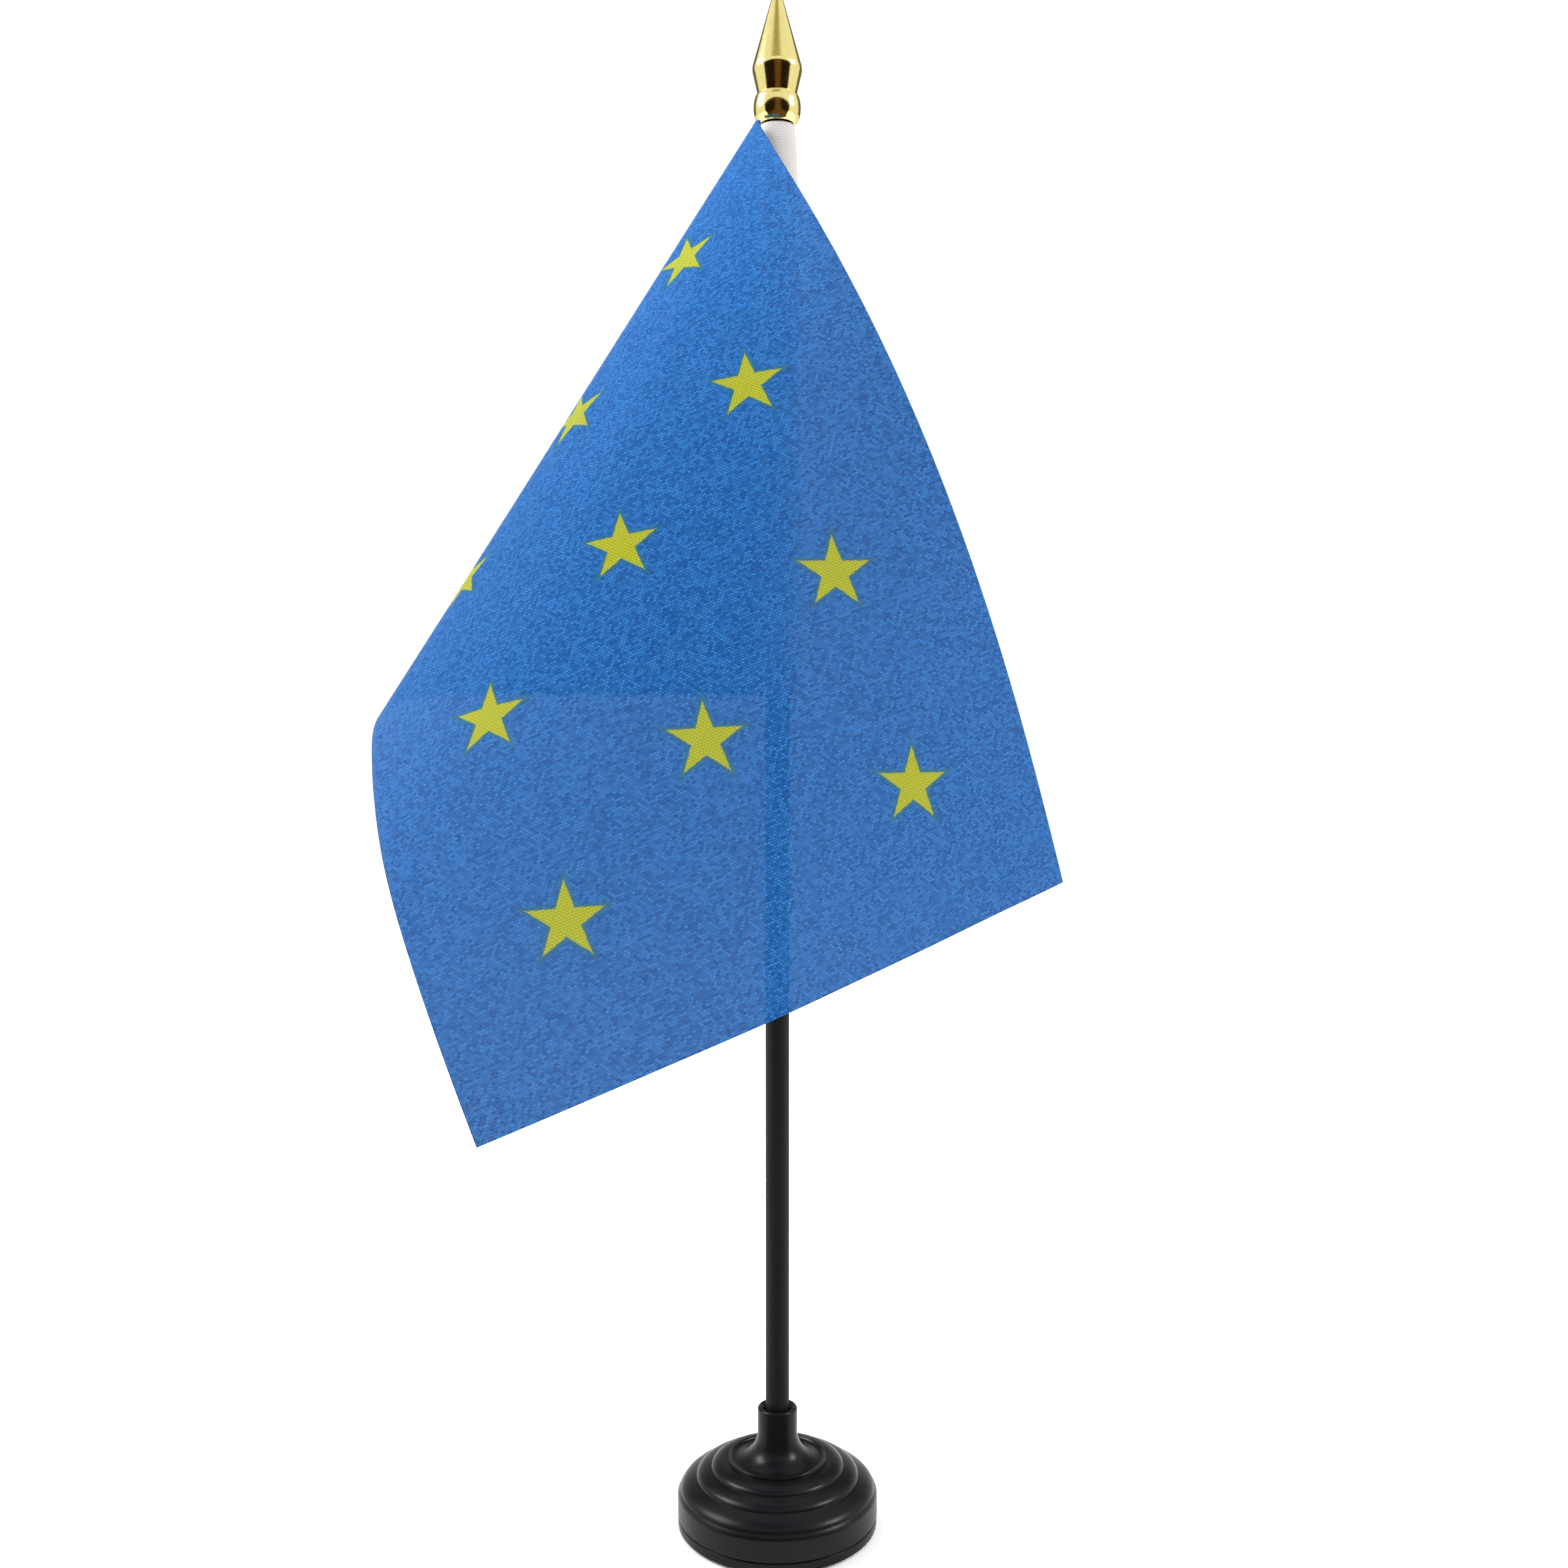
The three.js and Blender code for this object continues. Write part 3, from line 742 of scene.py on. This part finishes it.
def fold_lines(steps=720):
    """The direction of each line down from the apex, and the direction across it."""
    step = math.radians(FOLD_END) / steps
    span = math.radians(FOLD_END - FOLD_START)
    heading = math.radians(HOIST_HEADING)
    along = Vector((0, 0, -1))
    across = Vector((-math.cos(heading), -math.sin(heading), 0))
    lines = [(*along, *across)]
    for i in range(steps):
        share = min(max(((i + 0.5) * step - math.radians(FOLD_START)) / span, 0), 1)
        slope = FOLD_SKEW * share ** (FOLD_SKEW - 1)
        bump = slope * (1 - math.cos(math.tau * share**FOLD_SKEW))
        spin = along.cross(across) - along * (math.radians(FOLD_TURN) / span * bump)
        half = spin.length * step / 2
        turn = Vector(spin.normalized() * math.sin(half))
        for part in (along, across):
            lift = turn.cross(part)
            part += 2 * (math.cos(half) * lift + turn.cross(lift))
            part.normalize()
        lines.append((*along, *across))
    return np.array(lines)


def seam_place():
    """Where the hoist edge stands, just outside the pocket."""
    angle = math.radians(SEAM_ANGLE)
    on = np.array([POCKET_HALF_WIDTH * math.cos(angle), POCKET_HALF_DEPTH * math.sin(angle), 0])
    out = np.array([math.cos(angle) / POCKET_HALF_WIDTH, math.sin(angle) / POCKET_HALF_DEPTH, 0])
    return on + out / np.linalg.norm(out) * (PART_GAP + CLOTH_THICKNESS / 2)


FOLD_TABLE = fold_lines()
SEAM = seam_place()
APEX = SEAM + np.array([0, 0, HOIST_TOP + APEX_RISE])
print("the fold turns the cloth through", FOLD_TURN, "degrees; seam at", SEAM.round(2))


# %% Points of the cloth
def cloth_points(u, v):
    """Points and normals of the cloth: u from the hoist along the fly, v down from the top."""
    reach = np.hypot(u, v + APEX_RISE)
    angle = np.arctan2(u, v + APEX_RISE)
    end = math.radians(FOLD_END)
    place = np.minimum(angle / end, 1) * (len(FOLD_TABLE) - 1)
    at = np.arange(len(FOLD_TABLE))
    line = np.stack([np.interp(place, at, FOLD_TABLE[:, i]) for i in range(6)], -1)
    along = line[..., :3] / np.linalg.norm(line[..., :3], axis=-1, keepdims=True)
    across = line[..., 3:]
    across = across - (across * along).sum(-1, keepdims=True) * along
    across = across / np.linalg.norm(across, axis=-1, keepdims=True)
    normal = np.cross(along, across)
    past = np.maximum(angle - end, 0)
    distance = reach * np.sin(past)
    longest, ticks = 200, 2001
    ruler = np.linspace(0, longest, ticks)
    bend = CURL_START * ruler - CURL_EASE * ruler**2 / 2
    middle, step = (bend[1:] + bend[:-1]) / 2, ruler[1]
    sideways = np.concatenate([[0], np.cumsum(np.cos(middle) * step)])
    forward = np.concatenate([[0], np.cumsum(np.sin(middle) * step)])
    s, f = np.interp(distance, ruler, sideways), np.interp(distance, ruler, forward)
    turn = np.interp(distance, ruler, bend)[..., None]
    points = (
        APEX
        + along * (reach * np.cos(past))[..., None]
        + across * s[..., None]
        - normal * f[..., None]
    )
    normals = normal * np.cos(turn) + across * np.sin(turn)
    return points, normals


# %% [markdown]
# ## Blue warp-knit cloth with printed stars
#
# Flags of this size are cut from a fine polyester knit. Its courses run parallel to the hoist,
# 0.4 mm apart, and show as rows of short loops with fine holes, staggered like bricks. The
# dye is printed from one side and goes right through. The cloth lets a little light through: a
# few hundredths of it straight through the holes, and more by scattering, so two layers together
# look deeper and the pole shows as a faint band. The print is rows of plain five-pointed stars,
# which are drawn by folding the plane into one tenth of a star, where its edge is one straight
# line.

# %% Sizes of the print, in millimetres
STAR_RADIUS, STAR_NOTCH = 5.8, 0.382
STAR_PITCH, ROW_PITCH, ROW_MARGIN = 34.0, 28.0, 8.0
EVEN_MARGIN, ODD_MARGIN = 7.0, 24.0
COURSE_MM, LOOP_MM = 0.4, 0.57


def calculate(tree, operation, first, second=0.0, third=0.0):
    """One step of arithmetic in a tree."""
    node = add(tree, "ShaderNodeMath", {0: first, 1: second, 2: third}, operation=operation)
    return node.outputs[0]


def star_distance(tree, u, v):
    """How far a point is outside the nearest printed star, in millimetres; negative inside."""
    down = calculate(tree, "SUBTRACT", v, ROW_MARGIN)
    row = calculate(tree, "FLOOR", calculate(tree, "DIVIDE", down, ROW_PITCH))
    odd = calculate(tree, "FLOORED_MODULO", row, 2.0)
    margin = calculate(tree, "MULTIPLY_ADD", odd, ODD_MARGIN - EVEN_MARGIN, EVEN_MARGIN)
    on = calculate(tree, "SUBTRACT", u, margin)
    across = calculate(tree, "FLOORED_MODULO", on, STAR_PITCH)
    x = calculate(tree, "SUBTRACT", across, STAR_PITCH / 2)
    below = calculate(tree, "FLOORED_MODULO", down, ROW_PITCH)
    y = calculate(tree, "SUBTRACT", below, ROW_PITCH / 2)
    up = calculate(tree, "MULTIPLY", y, -1.0)
    turn = calculate(tree, "DIVIDE", calculate(tree, "ARCTAN2", x, up), math.tau / 5)
    nearest = calculate(tree, "ROUND", turn)
    from_tip = calculate(tree, "ABSOLUTE", calculate(tree, "SUBTRACT", turn, nearest))
    angle = calculate(tree, "MULTIPLY", from_tip, math.tau / 5)
    squares = calculate(tree, "MULTIPLY_ADD", x, x, calculate(tree, "MULTIPLY", y, y))
    reach = calculate(tree, "SQRT", squares)
    tenth = math.pi / 5
    edge = np.array([STAR_NOTCH * math.sin(tenth), 1 - STAR_NOTCH * math.cos(tenth)])
    edge = edge / np.linalg.norm(edge)
    out = calculate(tree, "MULTIPLY", calculate(tree, "COSINE", angle), float(edge[0]))
    side = calculate(tree, "MULTIPLY_ADD", calculate(tree, "SINE", angle), float(edge[1]), out)
    distance = calculate(tree, "MULTIPLY_ADD", side, reach, -STAR_RADIUS * float(edge[0]))
    # The odd rows have one star fewer, and there are three rows.
    past = calculate(tree, "SUBTRACT", ODD_MARGIN, u)
    beyond = calculate(tree, "SUBTRACT", u, ODD_MARGIN + 3 * STAR_PITCH)
    even = calculate(tree, "MULTIPLY_ADD", odd, CLOTH_WIDTH, -CLOTH_WIDTH)
    off_row = calculate(tree, "ADD", calculate(tree, "MAXIMUM", past, beyond), even)
    off_rows = calculate(tree, "SUBTRACT", row, 2.5)
    return calculate(tree, "MAXIMUM", calculate(tree, "MAXIMUM", distance, off_row), off_rows)


# %% Material: blue warp knit
def blue_knit():
    material, tree = start_material("blue_warp_knit")
    cut = add(tree, "ShaderNodeUVMap", uv_map="cut").outputs[0]
    size = (CLOTH_WIDTH, CLOTH_HEIGHT, 0)
    in_mm = add(tree, "ShaderNodeVectorMath", {0: cut, 1: size}, operation="MULTIPLY").outputs[0]
    parts = add(tree, "ShaderNodeSeparateXYZ", {0: in_mm}).outputs
    u, v = parts[0], calculate(tree, "SUBTRACT", CLOTH_HEIGHT, parts[1])
    courses = add(tree, "ShaderNodeCombineXYZ", {0: v, 1: u}).outputs[0]
    loops = add(
        tree,
        "ShaderNodeTexBrick",
        {
            "Vector": courses,
            "Scale": 1.0,
            "Color1": linear("#0f437c"),
            "Color2": linear("#3071b3"),
            "Mortar": linear("#103f78"),
            "Mortar Size": 0.1,
            "Mortar Smooth": 1.0,
            "Brick Width": LOOP_MM,
            "Row Height": COURSE_MM,
        },
    )
    gap = loops.outputs["Fac"]
    streaks = add(tree, "ShaderNodeTexNoise", {"Vector": in_mm, "Scale": 0.35, "Detail": 5})
    faded = calculate(tree, "MULTIPLY", streaks.outputs[0], 0.3)
    blue = add(
        tree,
        "ShaderNodeMix",
        {0: faded, 6: loops.outputs["Color"], 7: linear("#235fa1")},
        data_type="RGBA",
    )
    gold = add(
        tree,
        "ShaderNodeMix",
        {0: gap, 6: linear("#9da126"), 7: linear("#7d7f18")},
        data_type="RGBA",
    )
    distance = star_distance(tree, u, v)
    ragged = add(tree, "ShaderNodeTexNoise", {"Vector": in_mm, "Scale": 1.4}).outputs[0]
    bled = calculate(tree, "MULTIPLY_ADD", ragged, 0.3, calculate(tree, "SUBTRACT", distance, 0.15))
    inside = add(
        tree,
        "ShaderNodeMapRange",
        {"Value": bled, "From Min": 0.12, "From Max": -0.12},
        interpolation_type="SMOOTHSTEP",
    ).outputs[0]
    halo = add(
        tree,
        "ShaderNodeMapRange",
        {"Value": bled, "From Min": 0.8, "From Max": 0.1},
        interpolation_type="SMOOTHSTEP",
    ).outputs[0]
    haloed = add(
        tree,
        "ShaderNodeMix",
        {0: calculate(tree, "MULTIPLY", halo, 0.8), 6: blue.outputs[2], 7: linear("#285c64")},
        data_type="RGBA",
    )
    printed = add(
        tree,
        "ShaderNodeMix",
        {0: inside, 6: haloed.outputs[2], 7: gold.outputs[2]},
        data_type="RGBA",
    ).outputs[2]
    bump = add(
        tree,
        "ShaderNodeBump",
        {"Height": gap, "Strength": 0.5, "Distance": 0.1 * MM},
        invert=True,
    ).outputs[0]
    knit = add(
        tree,
        "ShaderNodeBsdfPrincipled",
        {
            "Base Color": printed,
            "Roughness": 0.75,
            "Specular IOR Level": 0.06,
            "Sheen Weight": 0.2,
            "Sheen Roughness": 0.35,
            "Sheen Tint": linear("#a9cbf0"),
            "Normal": bump,
        },
    )
    glow = add(tree, "ShaderNodeBsdfTranslucent", {"Color": printed})
    cloth = add(tree, "ShaderNodeMixShader", {0: 0.15, 1: knit.outputs[0], 2: glow.outputs[0]})
    open_gap = add(
        tree, "ShaderNodeMapRange", {"Value": gap, "From Min": 0.65, "To Max": 0.1}
    ).outputs[0]
    # The sheet has two faces. A ray that is already inside it goes on, so that each crossing
    # meets the cloth once.
    inside_sheet = add(tree, "ShaderNodeNewGeometry").outputs["Backfacing"]
    share = calculate(tree, "MAXIMUM", open_gap, inside_sheet)
    clear = add(tree, "ShaderNodeBsdfTransparent")
    whole = add(tree, "ShaderNodeMixShader", {0: share, 1: cloth.outputs[0], 2: clear.outputs[0]})
    show(tree, whole.outputs[0])
    return material


# %% The cloth
def cloth_grid(flat=12, folded=70, front=150, rows=140):
    """A grid whose columns follow the lines of the fold, then fan out to the fly edge."""
    share = np.linspace(0, 1, folded + 1) ** (1 / FOLD_SKEW)
    angles = np.concatenate(
        [
            np.linspace(0, FOLD_START, flat, endpoint=False),
            FOLD_START + (FOLD_END - FOLD_START) * share,
        ]
    )
    v = CLOTH_HEIGHT * np.linspace(0, 1, rows)[:, None] ** 1.25
    bent = (v + APEX_RISE) * np.tan(np.radians(angles))[None, :]
    fan = bent[:, -1:] + (CLOTH_WIDTH - bent[:, -1:]) * np.linspace(0, 1, front + 1)[None, 1:]
    u = np.concatenate([bent, fan], axis=1)
    v = v + 0 * u
    points, normals = cloth_points(u, v)
    # Faint waves run down from the corner, as in any cloth that has been folded away.
    angle, reach = np.arctan2(u, v + APEX_RISE), np.hypot(u, v + APEX_RISE)
    wave = 0.5 * np.sin(angle * 21 + 0.7) + 0.35 * np.sin(angle * 34 + reach / 31)
    held = (1 - np.exp(-u / 12)) * np.clip(reach / 120, 0, 1)
    points = points + normals * (wave * held * WAVE_HEIGHT)[..., None]
    return points, np.stack([u / CLOTH_WIDTH, 1 - v / CLOTH_HEIGHT], -1)


knit_finish = blue_knit()
cloth = grid_piece("flag_knit", *cloth_grid(), knit_finish)
knit_wall = cloth.modifiers.new("knit", "SOLIDIFY")
knit_wall.thickness, knit_wall.offset = KNIT_THICKNESS * MM, 0
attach(cloth, "flag")
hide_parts("flag_cloth")

# %% [markdown]
# ## The hoist seam
#
# The cloth is sewn to the pocket with an overcast seam: the thread loops round the cloth's edge
# and through the pocket, over and over. Geometry Nodes set one loop on each point of a line down
# the hoist. A loop is a flattened ring of thread, tipped a little, because each one climbs to
# the next.


# %% Material: white thread
def white_thread():
    material, tree = start_material("white_polyester_thread")
    place = add(tree, "ShaderNodeTexCoord").outputs["Object"]
    ply = add(
        tree, "ShaderNodeTexNoise", {"Vector": place, "Scale": 1 / (0.15 * MM), "Detail": 2}
    )
    tint = add(
        tree,
        "ShaderNodeMix",
        {0: ply.outputs[0], 6: linear("#d5d1cf"), 7: linear("#f1efed")},
        data_type="RGBA",
    )
    bump = add(
        tree, "ShaderNodeBump", {"Height": ply.outputs[0], "Strength": 0.5, "Distance": 0.04 * MM}
    )
    thread = add(
        tree,
        "ShaderNodeBsdfPrincipled",
        {
            "Base Color": tint.outputs[2],
            "Roughness": 0.55,
            "Sheen Weight": 0.3,
            "Normal": bump.outputs[0],
        },
    )
    show(tree, thread.outputs[0])
    return material


# %% The tree that sews
def sewing_tree():
    tree = bpy.data.node_groups.new("overcast_seam", "GeometryNodeTree")
    face = tree.interface
    face.new_socket("Seam", in_out="INPUT", socket_type="NodeSocketGeometry")
    face.new_socket("Stitches", in_out="INPUT", socket_type="NodeSocketInt")
    face.new_socket("Thread Radius", in_out="INPUT", socket_type="NodeSocketFloat")
    face.new_socket("Loop Size", in_out="INPUT", socket_type="NodeSocketVector")
    face.new_socket("Loop Turn", in_out="INPUT", socket_type="NodeSocketVector")
    face.new_socket("Finish", in_out="INPUT", socket_type="NodeSocketMaterial")
    face.new_socket("Sewing", in_out="OUTPUT", socket_type="NodeSocketGeometry")
    given = add(tree, "NodeGroupInput").outputs
    line = add(tree, "GeometryNodeMeshToCurve", {0: given["Seam"]})
    places = add(
        tree, "GeometryNodeResampleCurve", {0: line.outputs[0], "Count": given["Stitches"]}
    )
    ring = add(tree, "GeometryNodeCurvePrimitiveCircle", {"Resolution": 18, "Radius": 1.0})
    loop = add(
        tree, "GeometryNodeTransform", {0: ring.outputs[0], "Scale": given["Loop Size"]}
    )
    strand = add(
        tree,
        "GeometryNodeCurvePrimitiveCircle",
        {"Resolution": 6, "Radius": given["Thread Radius"]},
    )
    stitch = add(
        tree,
        "GeometryNodeCurveToMesh",
        {"Curve": loop.outputs[0], "Profile Curve": strand.outputs[0]},
    )
    rotation = add(tree, "FunctionNodeEulerToRotation", {0: given["Loop Turn"]})
    sewn = add(
        tree,
        "GeometryNodeInstanceOnPoints",
        {
            "Points": places.outputs[0],
            "Instance": stitch.outputs[0],
            "Rotation": rotation.outputs[0],
        },
    )
    real = add(tree, "GeometryNodeRealizeInstances", {0: sewn.outputs[0]})
    smooth = add(tree, "GeometryNodeSetShadeSmooth", {0: real.outputs[0]})
    finished = add(
        tree, "GeometryNodeSetMaterial", {0: smooth.outputs[0], "Material": given["Finish"]}
    )
    add(tree, "NodeGroupOutput", {"Sewing": finished.outputs[0]})
    return tree


# %% The sewing
STITCH_PITCH, THREAD_RADIUS, SEAM_INSET, SEAM_REACH = 1.9, 0.11, 1.2, 0.45
LOOP_SIZE, LOOP_TIP = (1.35, 0.34, 1.0), 24
heading = math.radians(HOIST_HEADING)
onto_cloth = np.array([-math.cos(heading), -math.sin(heading), 0])
seam_top = SEAM + onto_cloth * SEAM_REACH + np.array([0, 0, HOIST_TOP - SEAM_INSET])
seam_foot = seam_top - np.array([0, 0, CLOTH_HEIGHT - 2 * SEAM_INSET])
stitches = round((CLOTH_HEIGHT - 2 * SEAM_INSET) / STITCH_PITCH) + 1
sewing = grown(
    "hoist_sewing",
    [seam_top * MM, seam_foot * MM],
    [(0, 1)],
    sewing_tree(),
    {
        "Stitches": stitches,
        "Thread Radius": THREAD_RADIUS * MM,
        "Loop Size": Vector(LOOP_SIZE) * MM,
        "Loop Turn": Vector((0.0, math.radians(LOOP_TIP), heading)),
        "Finish": white_thread(),
    },
)
face_outwards(sewing)
print(stitches, "stitches,", len(sewing.data.polygons), "faces")
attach(sewing, "flag")

# %% [markdown]
# ## Floor, light and camera
#
# The stand is shown on a plain white floor in an even white room. A softbox stands on each side:
# they draw the bright spots on the rings of the base and brighten the turned edge of the cloth.
# A small lamp hangs close to the top corner of the flag. Tinted cards in front, above and behind
# keep mirrors from going blank: the gilding shows the front one as a brown arch and the back one
# as a dark rim. The cards are seen only in reflections, and the small lamp in none.


# %% Floor and card
def white_floor():
    material, tree = start_material("white_paper_floor")
    place = add(tree, "ShaderNodeTexCoord").outputs["Object"]
    fibre = add(tree, "ShaderNodeTexNoise", {"Vector": place, "Scale": 1 / (1.5 * MM)})
    tint = add(
        tree,
        "ShaderNodeMix",
        {0: fibre.outputs[0], 6: linear("#fcfcfc"), 7: linear("#fefefe")},
        data_type="RGBA",
    )
    paper = add(tree, "ShaderNodeBsdfDiffuse", {"Color": tint.outputs[2]})
    show(tree, paper.outputs[0])
    return material


def card_finish(name, middle, edge, at, reach):
    """Card that shines as bright as a mirror shows it, and changes tint outwards from x = at."""
    material, tree = start_material(name)
    place = add(tree, "ShaderNodeTexCoord").outputs["Object"]
    across = add(tree, "ShaderNodeSeparateXYZ", {0: place}).outputs[0]
    off = calculate(tree, "ABSOLUTE", calculate(tree, "SUBTRACT", across, at))
    out = add(
        tree,
        "ShaderNodeMapRange",
        {"Value": off, "From Min": 0.25 * reach, "From Max": reach},
        interpolation_type="SMOOTHSTEP",
    ).outputs[0]
    tint = add(
        tree,
        "ShaderNodeMix",
        {0: out, 6: linear(middle), 7: linear(edge)},
        data_type="RGBA",
    )
    shine = add(tree, "ShaderNodeEmission", {"Color": tint.outputs[2], "Strength": 1.0})
    show(tree, shine.outputs[0])
    return material


def sheet_mesh(name, corners_by_row, finish):
    """A plain mesh strip from rows of points, in metres."""
    columns = len(corners_by_row[0])
    mesh = bpy.data.meshes.new(name)
    faces = [
        (r * columns + c, r * columns + c + 1, (r + 1) * columns + c + 1, (r + 1) * columns + c)
        for r in range(len(corners_by_row) - 1)
        for c in range(columns - 1)
    ]
    mesh.from_pydata([p for row in corners_by_row for p in row], [], faces)
    mesh.materials.append(finish)
    made = bpy.data.objects.new(name, mesh)
    bpy.context.scene.collection.objects.link(made)
    return made


FLOOR_HALF = 4.0
sheet_mesh(
    "floor",
    [[(x, y, 0) for x in (-FLOOR_HALF, FLOOR_HALF)] for y in (-FLOOR_HALF, FLOOR_HALF)],
    white_floor(),
)


def curved_card(name, middle, half_angle, profile, finish):
    """A card bent round the stand. profile is a list of distances and heights, in metres."""
    turns = np.radians(np.linspace(-half_angle, half_angle, 33))
    rows = []
    for distance, height in profile:
        places = [(t, t + math.radians(middle)) for t in turns]
        rows.append(
            [
                (distance * math.sin(a), -distance * math.cos(a), height * math.cos(t) ** 0.7)
                for t, a in places
            ]
        )
    made = sheet_mesh(name, rows, finish)
    for hidden_from in ("camera", "diffuse", "transmission", "volume_scatter", "shadow"):
        setattr(made, "visible_" + hidden_from, False)
    return made


front_finish = card_finish("brown_card", "#6a4a28", "#22150c", 0.08, 0.45)
curved_card("front_card", 0, 62, [(0.026, 0.004), (1.2, 0.004), (1.2, 0.9)], front_finish)
top_finish = card_finish("grey_card", "#b5ac86", "#ffffff", -0.05, 0.5)
curved_card("top_card", 0, 42, [(0.85, 1.25), (0.5, 1.6)], top_finish)
back_finish = card_finish("olive_card", "#625e46", "#7a765f", 0.0, 0.9)
curved_card("back_card", 180, 55, [(1.2, 0.5), (1.2, 1.5)], back_finish)
print("floor and cards in place")


# %% Room light and softboxes
def room_light(strength):
    world = bpy.data.worlds.new("white_room")
    world.use_nodes = True
    tree = world.node_tree
    tree.nodes.clear()
    air = add(tree, "ShaderNodeBackground", {"Color": linear("#ffffff"), "Strength": strength})
    add(tree, "ShaderNodeOutputWorld", {"Surface": air.outputs[0]})
    bpy.context.scene.world = world


def softbox(name, azimuth, elevation, distance, size, watts):
    """A square lamp that faces the middle of the stand, round from the front by azimuth."""
    a, e = math.radians(azimuth), math.radians(elevation)
    away = Vector((math.sin(a) * math.cos(e), -math.cos(a) * math.cos(e), math.sin(e)))
    lamp = bpy.data.lights.new(name, "AREA")
    lamp.shape, lamp.size, lamp.energy = "SQUARE", size, watts
    made = bpy.data.objects.new(name, lamp)
    made.location = Vector((0, 0, 0.14)) + away * distance
    made.rotation_euler = away.to_track_quat("Z", "Y").to_euler()
    bpy.context.scene.collection.objects.link(made)
    return made


room_light(1.03)
softbox("softbox_right", 76, 30, 0.9, 0.25, 5.5)
softbox("softbox_left", -88, 36, 0.8, 0.35, 6.2)
corner_lamp = softbox("corner_lamp", -55, 60, 0.19, 0.04, 0.085)
corner_lamp.visible_glossy = False
bpy.context.scene.view_settings.view_transform = "Standard"

# %% The camera
eye = bpy.data.cameras.new("eye")
eye.lens, eye.sensor_width = 35.16, 36
eye.clip_start, eye.clip_end = 0.01, 20
camera = bpy.data.objects.new("camera", eye)
camera.location = (0.0012, -0.274, 0.1457)
camera.rotation_euler = (math.radians(87.72), 0, 0)
bpy.context.scene.collection.objects.link(camera)
bpy.context.scene.camera = camera

# %% [markdown]
# ## The last update
#
# The view layer is updated once more, so that every piece stands where it was placed.

# %% The last update
bpy.context.view_layer.update()
